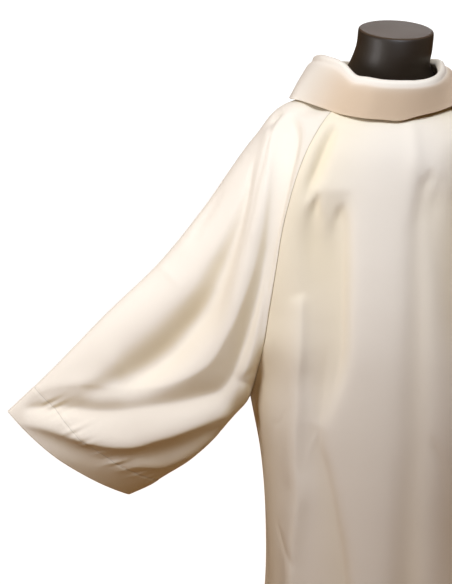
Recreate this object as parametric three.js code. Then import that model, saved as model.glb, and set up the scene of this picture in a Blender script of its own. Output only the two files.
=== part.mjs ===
// An alb with raglan sleeves and a deep fold-over collar, hanging on a headless dress form.
// Millimetres. X runs to the wearer's left, -Y is the front, Z is up, and the origin is on the
// floor under the neck. The wearer's right is -X. Cloth surfaces are worked out from the tables
// below, pushed in and out along the folds, and given a wall on their inner side.
import * as THREE from "three";

const clothWall = 2; // panels and sleeves, a stiff polyester with its seam allowance
const collarWall = 2.4; // two layers
const seamGap = 0.3; // each side of a seam
const seamCalm = 20; // folds die away over this distance from a seam
const collarFromNeck = 98; // half width of the neckline at the shoulder
const neckSideLevel = 1459;
const sidewaysCount = 0.3; // how much a step sideways counts round a sleeve
const poleRadius = 16;
const baseRadius = 190;
const baseThickness = 12;

// Body panels, neckline to hem. Each row: the level of the middle and how far it stands from the
// neck's axis, then the same for the edge that is sewn to the sleeve, and below the armpit to the
// other panel.
const panelColumns = ["middleZ", "middleDepth", "edgeX", "edgeDepth", "edgeZ"];
const armpitRow = 9;
const frontRows = [
  [1441, 94, 80, 54, 1447],
  [1412, 113, 118, 82, 1430],
  [1370, 130, 150, 100, 1387],
  [1328, 138, 170, 108, 1343],
  [1285, 143.5, 183, 109, 1300],
  [1238, 150, 194, 105, 1250],
  [1180, 158, 203, 101, 1188],
  [1118, 165, 212, 93, 1122],
  [1046, 169, 221, 78, 1052],
  [962, 168, 231, 8, 962],
  [860, 164, 212, 0, 860],
  [740, 160, 201.5, 0, 740],
  [620, 161, 198, 0, 620],
  [480, 172, 209, 0, 480],
  [280, 192, 235, 0, 280],
  [60, 216, 268, 0, 60],
];
const backRows = [
  [1466, 82, 78, 46, 1458],
  [1450, 106, 116, 76, 1438],
  [1412, 124, 148, 98, 1396],
  [1366, 134, 168, 110, 1350],
  [1314, 140, 182, 113, 1302],
  [1258, 143, 194, 109, 1250],
  [1192, 145, 204, 99, 1188],
  [1122, 146, 213, 82, 1122],
  [1048, 147, 222, 52, 1052],
  [962, 148, 231, -8, 962],
  [860, 149, 212, 0, 860],
  [740, 152, 201.5, 0, 740],
  [620, 157, 198, 0, 620],
  [480, 166, 209, 0, 480],
  [280, 182, 235, 0, 280],
  [60, 200, 268, 0, 60],
];

// Right sleeve, shoulder to cuff. Each row is a hanging slice: its top and bottom points, the
// swell to the front and to the back, how full it is low down and high up, its bow outwards, and
// how far its low edge swings back below which share of its height.
const sliceColumns = [
  "topX", "topY", "topZ", "lowX", "lowY", "lowZ", "front", "back", "lowFull", "topFull", "bow",
  "tuck", "hinge",
];
const sleeveRows = [
  [-176, 2, 1441, -240, -4, 952, 94, 104, 2, 2, 12, 0, 0.15],
  [-222, 4, 1392, -258, -2, 932, 84, 88, 2.2, 2, 8, 0, 0.15],
  [-306, 10, 1275, -294, 2, 888, 64, 64, 2.3, 2, 0, 0, 0.15],
  [-378, 15, 1186, -331, 6, 849.5, 54, 50, 2, 2, 2, 5, 0.16],
  [-469, 25, 1097, -373, 11, 817.5, 42, 36, 1.8, 2, 6, 14, 0.22],
  [-560, 33, 1003, -398, 15, 798.5, 28, 22, 1.8, 2, 10, 20, 0.32],
  [-632, 40, 934, -432, 20, 780, 17, 11, 1.8, 2, 14, 26, 0.8],
];

// Collar, all the way round. Each row: the direction from the neck's axis, in degrees from the
// front by the wearer's left, then the collar's crest there and its lower edge. It stands wide
// of the neck on the wearer's right and close to it on the left.
const collarColumns = ["direction", "crestX", "crestY", "crestZ", "edgeX", "edgeY", "edgeZ"];
const collarRows = [
  [-180, -24, 102, 1504, -22, 134, 1437],
  [-150, -76, 88, 1506, -98, 115, 1441],
  [-120, -111, 50, 1511, -150, 66, 1448],
  [-90, -124.5, 4, 1516, -166.5, 4, 1448.5],
  [-65, -117, -42, 1515.5, -151, -24, 1445.5],
  [-47, -95, -77, 1504, -124, -66, 1436],
  [-37, -81, -96, 1487.5, -104, -89, 1429],
  [-28, -65, -106.5, 1484.5, -80, -103, 1424.5],
  [-10, -35, -117, 1480, -41, -112, 1421],
  [0, -13, -119, 1479.5, -15, -114, 1419.5],
  [10, 8, -118, 1479.5, 12, -113, 1426],
  [28, 38, -107, 1485, 47, -105, 1433.5],
  [45, 57, -78, 1495, 79, -90, 1443],
  [65, 66, -42, 1506, 108, -62, 1452],
  [90, 70, 4, 1510, 124, 0, 1456],
  [120, 58, 54, 1508, 104, 66, 1451],
  [150, 26, 88, 1505, 55, 115, 1443],
];
// Across the collar, up from its seam, over the crest and down to its lower edge. Each row: the
// shares of the seam, crest and edge points, then how much further out and up.
const rollColumns = ["seam", "crest", "edge", "outwards", "up"];
const rollRows = [
  [1, 0, 0, 0, 0],
  [0.96, 0.04, 0, -1.8, 1.8],
  [0.5, 0.5, 0, -1, 0],
  [0, 1, 0, -5, -9],
  [0, 1, 0, -3.4, -2.4],
  [0, 1, 0, 0, 0],
  [0, 1, 0, 3.8, -2.6],
  [0, 0.97, 0.03, 5, -7],
  [0, 0.8, 0.2, 5.5, -3],
  [0, 0.35, 0.65, 2.5, 0],
  [0, 0.1, 0.9, 0.5, 0],
  [0, 0, 1, 0, 0],
];

// Folds. Each row of a fold is a point of its line: two places on the piece (a panel's place
// across, -1 to 1, and table row; a sleeve's place along, 0 to 1, and round from the underarm,
// 0 to 1), how deep it sinks and its half width. A minus depth is a ridge.
const frontFolds = {
  besideSeam: [
    [-0.85, 1.3, 0, 9], [-0.84, 1.6, 5, 9], [-0.84, 2.1, 8, 10], [-0.84, 2.6, 8, 11],
    [-0.85, 3.1, 7, 11], [-0.86, 3.5, 4, 10], [-0.855, 4, 0, 10],
  ],
  sidePleat: [
    [-0.765, 3.6, 0, 9], [-0.768, 3.85, 3.5, 9], [-0.77, 4.08, 6.5, 9], [-0.765, 4.4, 6, 12],
    [-0.75, 4.8, 5.5, 18], [-0.73, 5.3, 5.5, 22], [-0.7, 5.8, 4, 24], [-0.66, 6.4, 2, 24],
    [-0.62, 7, 0, 24],
  ],
  chestHollow: [
    [-0.56, 3.4, 0, 27], [-0.53, 4.4, 9, 30], [-0.5, 5.6, 14, 32], [-0.47, 6.8, 15, 34],
    [-0.44, 8, 12, 33], [-0.42, 9.2, 0, 29],
  ],
  pleatLine: [
    [-0.745, 6.5, 0, 10], [-0.685, 7.36, -7, 12], [-0.65, 7.94, -9, 12], [-0.56, 9.05, -10, 14],
    [-0.55, 9.5, -11, 15], [-0.555, 10.34, -13, 20], [-0.6, 11.2, -15, 25], [-0.62, 11.7, -16, 28],
    [-0.61, 15, -20, 38],
  ],
  pleatFloor: [
    [-0.52, 7.5, 0, 12], [-0.48, 8.4, 3, 14], [-0.435, 9.38, 6, 16], [-0.4, 10, 9, 19],
    [-0.365, 10.6, 11, 22], [-0.325, 11.4, 13, 28], [-0.3, 13, 16, 35], [-0.3, 15, 20, 40],
  ],
  pleatFront: [
    [-0.79, 6.6, 0, 16], [-0.76, 7.4, 2, 19], [-0.72, 8.4, 4, 21], [-0.69, 9.4, 5, 21],
    [-0.68, 10.4, 5, 22], [-0.7, 11.6, 5, 24], [-0.73, 13, 7, 27], [-0.73, 15, 8, 30],
  ],
  middle: [
    [0.2, 2.5, 0, 9], [0.11, 3.3, 6, 14], [0.07, 4.2, 6, 16], [0.05, 5, 5, 19], [0.035, 7.7, 5, 21],
    [0.03, 9.5, 5, 24], [0.02, 10.2, 6, 26], [0.02, 11.4, 9, 28], [0.04, 15, 22, 39],
  ],
  secondDimple: [
    [0.3, 2.8, 0, 10], [0.25, 3.2, 2.5, 12], [0.21, 3.7, 4, 16], [0.185, 4.3, 4, 18],
    [0.19, 5.1, 3, 22], [0.23, 6.2, 2, 25], [0.25, 8, 0, 26],
  ],
  leftPleatEdge: [
    [0.36, 7, 0, 20], [0.37, 9, -3, 26], [0.39, 11, -6, 28], [0.41, 13, -12, 30],
    [0.42, 15, -16, 32],
  ],
  leftPleat: [
    [0.6, 2.6, 0, 20], [0.58, 4.4, 10, 26], [0.55, 7, 16, 32], [0.53, 9, 20, 34],
    [0.53, 11, 22, 34], [0.55, 13, 26, 34], [0.6, 15, 30, 38],
  ],
  rightSide: [[-0.8, 12, 0, 24], [-0.81, 13, -7, 26], [-0.82, 15, -12, 30]],
  leftSide: [[0.78, 9.8, 0, 24], [0.8, 12, -9, 28], [0.82, 15, -13, 34]],
};
const backFolds = {
  rightBlade: [
    [-0.52, 3.6, 0, 16], [-0.5, 5, 7, 18], [-0.5, 7.5, 9, 24], [-0.48, 10, 16, 28],
    [-0.5, 12.5, 24, 32], [-0.54, 15, 30, 38],
  ],
  spine: [
    [0.04, 5.5, 0, 22], [0.02, 8, 8, 28], [0, 10.5, 14, 32], [-0.02, 13, 20, 36],
    [-0.04, 15, 26, 38],
  ],
  leftBlade: [
    [0.55, 3.8, 0, 16], [0.53, 5.4, 8, 18], [0.5, 8, 9, 24], [0.5, 10.4, 17, 28],
    [0.52, 12.6, 25, 32], [0.52, 15, 30, 38],
  ],
  rightRidge: [[-0.24, 6, 0, 26], [-0.25, 9, -8, 30], [-0.26, 12, -14, 34], [-0.28, 15, -20, 38]],
  leftRidge: [[0.28, 6.5, 0, 26], [0.26, 9.5, -8, 30], [0.25, 12, -15, 34], [0.24, 15, -20, 38]],
  rightSide: [[-0.78, 10, 0, 24], [-0.8, 12, -8, 28], [-0.82, 15, -14, 34]],
  leftSide: [[0.8, 10.4, 0, 24], [0.8, 12.4, -9, 28], [0.8, 15, -14, 34]],
};
const sleeveFolds = {
  shoulderCrease: [
    [0.082, 0.481, 0, 9], [0.062, 0.459, 6, 11], [0.047, 0.429, 6, 14], [0.04, 0.375, 5, 16],
    [0.04, 0.306, 4, 15], [0.045, 0.27, 0, 14],
  ],
  armRidge: [
    [0.095, 0.482, 0, 9], [0.106, 0.43, -5, 16], [0.103, 0.359, -7, 20], [0.108, 0.318, -8, 21],
    [0.138, 0.258, -9, 22], [0.216, 0.21, -9, 24], [0.356, 0.194, -7, 24], [0.501, 0.218, -5, 22],
    [0.64, 0.263, -3.5, 20], [0.694, 0.29, -3, 18], [0.797, 0.39, -3, 14], [0.93, 0.48, 0, 9],
  ],
  lowerTrough: [
    [0.095, 0.41, 0, 11], [0.09, 0.32, 8, 18], [0.093, 0.27, 11, 20], [0.122, 0.182, 14, 20],
    [0.175, 0.13, 13, 20], [0.27, 0.107, 11, 20], [0.338, 0.113, 10, 21], [0.549, 0.178, 10, 22],
    [0.737, 0.254, 10, 21], [0.86, 0.357, 10, 18], [0.905, 0.405, 9, 15], [0.97, 0.472, 0, 9],
  ],
  innerRidge: [
    [0.045, 0.21, 0, 11], [0.065, 0.17, -4, 12], [0.08, 0.14, -7, 14], [0.1, 0.112, -8, 14],
    [0.128, 0.09, -6, 12], [0.16, 0.078, 0, 11],
  ],
  upperTrough: [
    [0.17, 0.465, 0, 9], [0.185, 0.442, 3, 9], [0.233, 0.383, 10, 14], [0.271, 0.364, 14, 18],
    [0.308, 0.348, 18, 22], [0.411, 0.314, 26, 29], [0.474, 0.311, 28, 32], [0.586, 0.305, 27, 32],
    [0.644, 0.309, 24, 31], [0.692, 0.318, 19, 28], [0.775, 0.355, 7, 17], [0.82, 0.385, 0, 13],
  ],
  lowRidge: [
    [0.2, 0.024, 0, 11], [0.273, 0.045, -5, 16], [0.391, 0.073, -8, 20], [0.486, 0.096, -11, 22],
    [0.576, 0.114, -12, 23], [0.652, 0.13, -12, 23], [0.79, 0.172, -12, 23], [0.85, 0.214, -12, 22],
    [0.89, 0.262, -11, 20], [0.94, 0.345, -8, 18], [0.98, 0.408, -4, 13], [1, 0.44, 0, 10],
  ],
  underside: [
    [0.28, 0.02, 0, 11], [0.42, 0.05, 1.5, 14], [0.52, 0.068, 2, 16], [0.62, 0.086, 2.5, 18],
    [0.72, 0.108, 2.5, 20], [0.81, 0.134, 2.5, 22], [0.88, 0.19, 2.5, 22], [0.935, 0.265, 2, 21],
    [0.975, 0.35, 1.5, 16], [1, 0.42, 0.5, 13],
  ],
  underRidge: [
    [0.3, 0.008, 0, 10], [0.361, 0.016, -2, 12], [0.451, 0.02, -3, 13], [0.559, 0.029, -3.5, 14],
    [0.657, 0.039, -3.5, 14], [0.757, 0.072, -3.5, 14], [0.817, 0.1, -3, 15], [0.9, 0.14, 0, 14],
  ],
};
const sleeveBackFolds = {
  upperTrough: [
    [0.14, 0.54, 0, 12], [0.21, 0.585, 6, 15], [0.32, 0.615, 14, 20], [0.45, 0.63, 19, 24],
    [0.57, 0.637, 18, 26], [0.69, 0.63, 9, 24], [0.77, 0.62, 0, 22],
  ],
  bandBetween: [[0.28, 0.69, 0, 20], [0.45, 0.705, -8, 26], [0.61, 0.705, -7, 24], [0.73, 0.68, 0, 22]],
  lowerTrough: [
    [0.11, 0.63, 0, 12], [0.14, 0.72, 8, 15], [0.25, 0.785, 14, 19], [0.4, 0.805, 17, 22],
    [0.55, 0.79, 15, 22], [0.69, 0.745, 11, 20], [0.81, 0.67, 6, 18], [0.9, 0.59, 0, 14],
  ],
  lowRidge: [
    [0.16, 0.935, 0, 20], [0.34, 0.915, -10, 24], [0.54, 0.88, -13, 26], [0.75, 0.81, -9, 24],
    [0.92, 0.7, 0, 20],
  ],
  underside: [
    [0.28, 0.985, 0, 16], [0.5, 0.96, 8, 18], [0.75, 0.92, 9, 20], [0.92, 0.85, 7, 22],
    [1, 0.8, 5, 22],
  ],
};

// Dress form. Each row is a ring: its level, how much higher its sides are, its slope to the
// back, half width, front and back depth, and where its middle stands.
const formColumns = [
  "level", "sideRise", "slope", "halfWidth", "front", "back", "middleY", "middleX",
];
const formRows = [
  [872, 0, 0, 128, 80, 76, 0, 0],
  [876, 0, 0, 146, 96, 92, 0, 0],
  [892, 0, 0, 158, 106, 103, 0, 0],
  [960, 0, 0, 165, 112, 112, 0, 0],
  [1070, 0, 0, 150, 100, 94, 0, 0],
  [1180, 0, 0, 166, 112, 101, 0, 0],
  [1280, 0, 0, 186, 120, 116, 0, 0],
  [1348, 6, 0, 190, 113, 116, 0, 0],
  [1388, 14, 0, 184, 100, 106, 0, 0],
  [1408, 19, 0, 170, 88, 95, 0, 0],
  [1422, 20, 0, 150, 74, 86, 0, 0],
  [1431, 20, 0, 122, 66, 79, 0, 0],
  [1440, 16, 0.04, 96, 66, 71, 0, 0],
  [1454, 10, 0.1, 88, 62, 70, 2, 0],
  [1478, 5, 0.16, 77, 61, 69, 4, -6],
  [1504, 1, 0.22, 64, 60, 64, -2, -7],
  [1530, 0, 0.27, 60.5, 60, 60, -7, -2],
  [1553.5, 0, 0.27, 60, 60, 60, -8, 0],
  [1557.5, 0, 0.27, 58, 58, 58, -8, 0],
];

const panelSlices = 19; // slices of mesh down a panel, so many of them above the armpit
const aboveArmpit = 11;
const columnsFront = 25;
const columnsBack = 21;
const arcSteps = 4; // across the top of a sleeve, between the two panels
const sleeveSlices = 19;
const formSides = 36;

const vector = (x, y, z) => new THREE.Vector3(x, y, z);
const lerp = (a, b, t) => a + (b - a) * t;
const namedRows = (rows, columns) =>
  rows.map((row) => Object.fromEntries(columns.map((name, i) => [name, row[i]])));

// A smooth curve through the values of one column, t counting rows from nought.
function smoothColumn(values, t, knots = values.map((_, i) => i)) {
  const last = values.length - 1;
  const x = Math.min(Math.max(t, knots[0]), knots[last]);
  let i = 0;
  while (i < last - 1 && x > knots[i + 1]) i++;
  const slope = (k) => {
    if (k === 0) return (values[1] - values[0]) / (knots[1] - knots[0]);
    if (k === last) return (values[last] - values[last - 1]) / (knots[last] - knots[last - 1]);
    const before = knots[k] - knots[k - 1], after = knots[k + 1] - knots[k];
    const fall = (values[k] - values[k - 1]) / before, rise = (values[k + 1] - values[k]) / after;
    return (fall * after + rise * before) / (before + after);
  };
  const span = knots[i + 1] - knots[i], u = (x - knots[i]) / span;
  return (
    values[i] * (2 * u ** 3 - 3 * u ** 2 + 1) + slope(i) * span * (u ** 3 - 2 * u ** 2 + u) +
    values[i + 1] * (3 * u ** 2 - 2 * u ** 3) + slope(i + 1) * span * (u ** 3 - u ** 2)
  );
}

function smoothRow(rows, columns, t) {
  const entries = columns.map((name, c) => [name, smoothColumn(rows.map((row) => row[c]), t)]);
  return Object.fromEntries(entries);
}

// Length along a line of points. A step sideways counts for less, so that places round the
// sleeve stay level with each other.
function reachOf(points) {
  const reach = [0];
  for (let i = 1; i < points.length; i++) {
    const run = points[i].clone().sub(points[i - 1]);
    reach.push(reach[i - 1] + Math.hypot(run.z, sidewaysCount * run.x, sidewaysCount * run.y));
  }
  return reach;
}

// Points of a line at fractions of its length.
function along(points, fractions) {
  const reach = reachOf(points), whole = reach[reach.length - 1];
  return fractions.map((fraction) => {
    const want = Math.min(Math.max(fraction, 0), 1) * whole;
    let i = 1;
    while (i < points.length - 1 && reach[i] < want) i++;
    const part = (want - reach[i - 1]) / (reach[i] - reach[i - 1]);
    return points[i - 1].clone().lerp(points[i], part);
  });
}

const steps = (from, to, count) =>
  Array.from({ length: count + 1 }, (_, i) => lerp(from, to, i / count));

// The table rows at which a panel is sliced: even above the armpit and even below it.
const panelLevels = [
  ...steps(0, armpitRow, aboveArmpit).slice(0, -1),
  ...steps(armpitRow, frontRows.length - 1, panelSlices - aboveArmpit),
];

// A panel's row at t. The sewn edge turns a corner at the armpit, so its columns are worked out
// above and below it apart.
function panelRow(rows, t) {
  const above = t <= armpitRow, edge = panelColumns.slice(2);
  const own = (above ? rows.slice(0, armpitRow + 1) : rows.slice(armpitRow)).map((r) => r.slice(2));
  return {
    ...smoothRow(rows, panelColumns, t),
    ...smoothRow(own, edge, above ? t : t - armpitRow),
  };
}

// A point of a body panel. across runs -1 to 1 from the wearer's right, facing is -1 in front.
function panelPoint(rows, facing, across, t) {
  const r = panelRow(rows, t);
  const edgeAngle = Math.acos(Math.min(Math.max(r.edgeDepth / r.middleDepth, -1), 1));
  const part = Math.sin(across * edgeAngle) / Math.sin(edgeAngle);
  return vector(
    r.edgeX * part,
    facing * r.middleDepth * Math.cos(across * edgeAngle),
    r.middleZ + (r.edgeZ - r.middleZ) * part * part,
  );
}

// The sleeve's armhole line on one side: up the front panel, over the shoulder, down the back.
function armholeLine(side) {
  const levels = panelLevels.slice(0, aboveArmpit + 1);
  const front = levels.map((t) => panelPoint(frontRows, -1, side, t)).reverse();
  const back = levels.map((t) => panelPoint(backRows, 1, side, t));
  const crown = vector(collarFromNeck * side, -2, neckSideLevel);
  const from = front[front.length - 1], to = back[0];
  const arc = steps(0, 1, arcSteps).slice(1, -1).map((q) =>
    from.clone().multiplyScalar((1 - q) * (1 - 2 * q))
      .addScaledVector(crown, 4 * q * (1 - q))
      .addScaledVector(to, q * (2 * q - 1)),
  );
  return [...front, ...arc, ...back];
}

// Where round the sleeve each point of the armhole line is, by length, 0.5 being the crown.
function armholeTurns(line) {
  const reach = reachOf(line);
  const crown = aboveArmpit + arcSteps / 2, whole = reach[reach.length - 1];
  return reach.map((length, i) =>
    i <= crown
      ? (0.5 * length) / reach[crown]
      : 0.5 + (0.5 * (length - reach[crown])) / (whole - reach[crown]),
  );
}

// One slice of the sleeve, as points at the given turns.
function slicePoints(row, turns, side) {
  const top = vector(row.topX, row.topY, row.topZ), low = vector(row.lowX, row.lowY, row.lowZ);
  const outward = top.clone().sub(low).cross(vector(0, 1, 0)).normalize();
  if (outward.x > 0) outward.negate();
  const half = (depth) =>
    steps(0, 1, 60).map((t) => {
      const up = (1 - Math.cos(Math.PI * t)) / 2;
      const full = up < 0.5 ? row.lowFull : row.topFull;
      const swell = depth * (1 - Math.abs(2 * up - 1) ** full) ** (1 / full);
      const bow = row.bow * Math.sin(Math.PI * up);
      const swing = row.tuck * Math.max(1 - up / row.hinge, 0) ** 1.3;
      return low.clone().lerp(top, up).addScaledVector(outward, bow)
        .add(vector(0, swell + swing, 0));
    });
  const front = along(half(-row.front), turns.map((v) => v * 2));
  const back = along(half(row.back).reverse(), turns.map((v) => v * 2 - 1));
  return turns.map((v, i) => {
    const p = v <= 0.5 ? front[i] : back[i];
    return vector(p.x * -side, p.y, p.z);
  });
}

// The sleeve's plain surface as a function of places along it and turns round it.
function sleeveSurface(side) {
  const line = armholeLine(side), turns = armholeTurns(line);
  const half = aboveArmpit + arcSteps / 2;
  const atTurns = (v) => {
    const front = along(line.slice(0, half + 1), v.map((q) => q * 2));
    const back = along(line.slice(half), v.map((q) => q * 2 - 1));
    return v.map((q, i) => (q <= 0.5 ? front[i] : back[i]));
  };
  const slices = namedRows(sleeveRows, sliceColumns);
  const rings = (v, first) => [first, ...slices.map((row) => slicePoints(row, v, side))];
  const spaced = rings(turns, line);
  const knots = [0];
  for (let k = 1; k < spaced.length; k++) {
    const gaps = spaced[k].map((p, i) => p.distanceTo(spaced[k - 1][i]));
    knots.push(knots[k - 1] + gaps.reduce((a, b) => a + b, 0) / gaps.length);
  }
  const whole = knots[knots.length - 1];
  const places = knots.map((k) => k / whole);
  const surface = (u, v, first = atTurns(v)) => {
    const columns = rings(v, first);
    return u.map((t) =>
      v.map((_, i) => {
        const pick = (axis) => smoothColumn(columns.map((ring) => ring[i][axis]), t, places);
        return vector(pick("x"), pick("y"), pick("z"));
      }),
    );
  };
  return { line, turns, surface };
}

// A sheet's own normal at each of its points, by the point's key.
const keyOf = (p) => [p.x, p.y, p.z].map((c) => Math.round(c * 100)).join();
function ownNormals({ grid, wrap, turn }) {
  const normals = new Map(), count = grid[0].length;
  for (let i = 0; i < grid.length - 1; i++) {
    for (let j = 0; j < (wrap ? count : count - 1); j++) {
      const k = (j + 1) % count;
      const corners = [grid[i][j], grid[i][k], grid[i + 1][k], grid[i + 1][j]];
      const facet = corners[2].clone().sub(corners[0])
        .cross(corners[3].clone().sub(corners[1])).multiplyScalar(turn);
      for (const p of corners) {
        const key = keyOf(p);
        normals.set(key, (normals.get(key) ?? vector(0, 0, 0)).add(facet));
      }
    }
  }
  normals.forEach((normal) => normal.normalize());
  return normals;
}

// The same for all the sheets, where those that meet at a seam share one direction. Each group
// counts once, so that at the armpit the two panels don't outweigh the sleeve.
function sharedNormals(groups) {
  const addTo = (sum, own) =>
    own.forEach((n, key) => sum.set(key, (sum.get(key) ?? vector(0, 0, 0)).add(n)));
  const shared = new Map();
  for (const group of groups) {
    const ofGroup = new Map();
    group.map(ownNormals).forEach((own) => addTo(ofGroup, own));
    ofGroup.forEach((normal) => normal.normalize());
    addTo(shared, ofGroup);
  }
  shared.forEach((normal) => normal.normalize());
  return shared;
}

const placed = (folds, placeOf) =>
  Object.values(folds).map((rows) =>
    rows.map(([a, b, depth, width]) => ({ place: placeOf(a, b), depth, width })),
  );

// How far a point is from a fold's line, and the fold's depth and width there.
function foldAt(point, fold) {
  let best = { distance: Infinity, depth: 0, width: 1 };
  for (let k = 0; k < fold.length - 1; k++) {
    const from = fold[k], to = fold[k + 1];
    const run = to.place.clone().sub(from.place);
    const t = Math.min(Math.max(point.clone().sub(from.place).dot(run) / run.lengthSq(), 0), 1);
    const distance = from.place.clone().addScaledVector(run, t).distanceTo(point);
    if (distance < best.distance) {
      best = {
        distance,
        depth: lerp(from.depth, to.depth, t),
        width: lerp(from.width, to.width, t),
      };
    }
  }
  return best;
}

// Pushes a plain sheet in along its folds, leaving its seam edges where they are.
function foldSheet(sheet, folds, seamLines) {
  const normals = ownNormals(sheet);
  sheet.grid = sheet.grid.map((row) =>
    row.map((p) => {
      const sunk = folds.reduce((sum, fold) => {
        const at = foldAt(p, fold);
        return sum + at.depth * Math.exp(-((at.distance / at.width) ** 2));
      }, 0);
      const away = Math.min(...seamLines.map((line) => distanceToLine(p, line)));
      const calm = THREE.MathUtils.smoothstep(away, 0, seamCalm);
      return p.clone().addScaledVector(normals.get(keyOf(p)), -sunk * calm);
    }),
  );
}

function distanceToLine(point, line) {
  let least = Infinity;
  for (let k = 0; k < line.length - 1; k++) {
    const run = line[k + 1].clone().sub(line[k]);
    const t = Math.min(Math.max(point.clone().sub(line[k]).dot(run) / run.lengthSq(), 0), 1);
    least = Math.min(least, line[k].clone().addScaledVector(run, t).distanceTo(point));
  }
  return least;
}

// Moves both faces of a wall squarely back from its seams, so that the two sides don't touch.
function trimSeams(outer, inner, { wrap, seams }, normals) {
  const count = outer[0].length, last = outer.length - 1;
  const before = outer.map((row) => row.map((p) => p.clone()));
  const pull = (i, j, towards, next, previous) => {
    const seam = next.clone().sub(previous).normalize();
    const back = towards.clone().sub(before[i][j]).projectOnPlane(seam)
      .projectOnPlane(normals.get(keyOf(before[i][j]))).setLength(seamGap);
    outer[i][j].add(back);
    inner[i][j].add(back);
  };
  if (seams.includes("sides")) {
    before.forEach((row, i) => {
      const above = before[Math.max(i - 1, 0)], below = before[Math.min(i + 1, last)];
      pull(i, 0, row[1], below[0], above[0]);
      pull(i, count - 1, row[count - 2], below[count - 1], above[count - 1]);
    });
  }
  if (seams.includes("first")) {
    const edge = before[0];
    edge.forEach((_, j) => {
      const next = wrap ? edge[(j + 1) % count] : edge[Math.min(j + 1, count - 1)];
      const previous = wrap ? edge[(j + count - 1) % count] : edge[Math.max(j - 1, 0)];
      pull(0, j, before[1][j], next, previous);
    });
  }
}

// A closed wall: the sheet's own surface outside, and the same moved inwards along the normals.
function wallGeometry(sheet, normals, wall) {
  const { grid, wrap, turn } = sheet;
  const outer = grid.map((row) => row.map((p) => p.clone()));
  const inner = grid.map((row) =>
    row.map((p) => p.clone().addScaledVector(normals.get(keyOf(p)), -wall)),
  );
  trimSeams(outer, inner, sheet, normals);
  const rows = grid.length, count = grid[0].length;
  const positions = [...outer.flat(), ...inner.flat()].flatMap((p) => [p.x, p.y, p.z]);
  const index = [];
  const out = (i, j) => i * count + (j % count);
  const inn = (i, j) => rows * count + out(i, j);
  const quad = (a, b, c, d) => {
    if (turn > 0) index.push(a, b, c, a, c, d);
    else index.push(a, c, b, a, d, c);
  };
  const across = wrap ? count : count - 1;
  for (let i = 0; i < rows - 1; i++) {
    for (let j = 0; j < across; j++) {
      quad(out(i, j), out(i, j + 1), out(i + 1, j + 1), out(i + 1, j));
      quad(inn(i, j), inn(i + 1, j), inn(i + 1, j + 1), inn(i, j + 1));
    }
    if (!wrap) {
      quad(out(i, 0), out(i + 1, 0), inn(i + 1, 0), inn(i, 0));
      quad(out(i, count - 1), inn(i, count - 1), inn(i + 1, count - 1), out(i + 1, count - 1));
    }
  }
  for (let j = 0; j < across; j++) {
    quad(out(0, j), inn(0, j), inn(0, j + 1), out(0, j + 1));
    quad(out(rows - 1, j), out(rows - 1, j + 1), inn(rows - 1, j + 1), inn(rows - 1, j));
  }
  const geometry = new THREE.BufferGeometry();
  geometry.setAttribute("position", new THREE.Float32BufferAttribute(positions, 3));
  geometry.setIndex(index);
  geometry.computeVertexNormals();
  return geometry;
}

function namedMesh(name, geometry, colour, roughness) {
  const mesh = new THREE.Mesh(geometry, new THREE.MeshStandardMaterial({ color: colour, roughness }));
  mesh.name = name;
  return mesh;
}

const ivory = 0xf3ece1, formBrown = 0x2b241f, standGrey = 0x3a3836;

// Body panels.
const panelSheet = (rows, facing, columns) => ({
  grid: panelLevels.map((t) => steps(-1, 1, columns).map((s) => panelPoint(rows, facing, s, t))),
  wrap: false,
  turn: facing,
  seams: ["first", "sides"],
});
const frontSheet = panelSheet(frontRows, -1, columnsFront);
const backSheet = panelSheet(backRows, 1, columnsBack);
const edgesOf = (grid) => [grid[0], grid.map((row) => row[0]), grid.map((row) => row.at(-1))];
foldSheet(
  frontSheet,
  placed(frontFolds, (s, t) => panelPoint(frontRows, -1, s, t)),
  edgesOf(frontSheet.grid),
);
foldSheet(
  backSheet,
  placed(backFolds, (s, t) => panelPoint(backRows, 1, s, t)),
  edgesOf(backSheet.grid),
);

// Sleeves. The left one is the right one mirrored, with its front and back folds changed over.
function sleeveSheet(side) {
  const { line, turns, surface } = sleeveSurface(side);
  const ring = line.slice(0, -1), ringTurns = turns.slice(0, -1);
  const grid = surface(steps(0, 1, sleeveSlices), ringTurns, ring);
  const sheet = { grid, wrap: true, turn: -side, seams: ["first"] };
  const turnOf = (v) => (side < 0 ? v : 1 - v);
  const placeOf = (u, v) => surface([u], [turnOf(v)])[0][0];
  const folds = [...placed(sleeveFolds, placeOf), ...placed(sleeveBackFolds, placeOf)];
  foldSheet(sheet, folds, [line]);
  return sheet;
}
const rightSleeve = sleeveSheet(-1);
const leftSleeve = sleeveSheet(1);

// Collar, on the ring of points where the panels and sleeves end at the neck. It starts at the
// front's wearer's right corner and goes round by the front.
const neckRing = (() => {
  const arcOf = (sheet) => sheet.grid[0].slice(aboveArmpit + 1, aboveArmpit + arcSteps);
  const front = frontSheet.grid[0], back = backSheet.grid[0];
  return [...front, ...arcOf(leftSleeve), ...[...back].reverse(), ...arcOf(rightSleeve).reverse()];
})();
const collarAround = (() => {
  const turn = ([direction, ...rest], by) => [direction + 360 * by, ...rest];
  const rows = [-1, 0, 1].flatMap((by) => collarRows.map((row) => turn(row, by)));
  const knots = rows.map((row) => row[0]);
  return (direction) => {
    const pick = (c) => smoothColumn(rows.map((row) => row[c]), direction, knots);
    const at = Object.fromEntries(collarColumns.map((name, c) => [name, pick(c)]));
    return {
      crest: vector(at.crestX, at.crestY, at.crestZ),
      edge: vector(at.edgeX, at.edgeY, at.edgeZ),
    };
  };
})();
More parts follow.
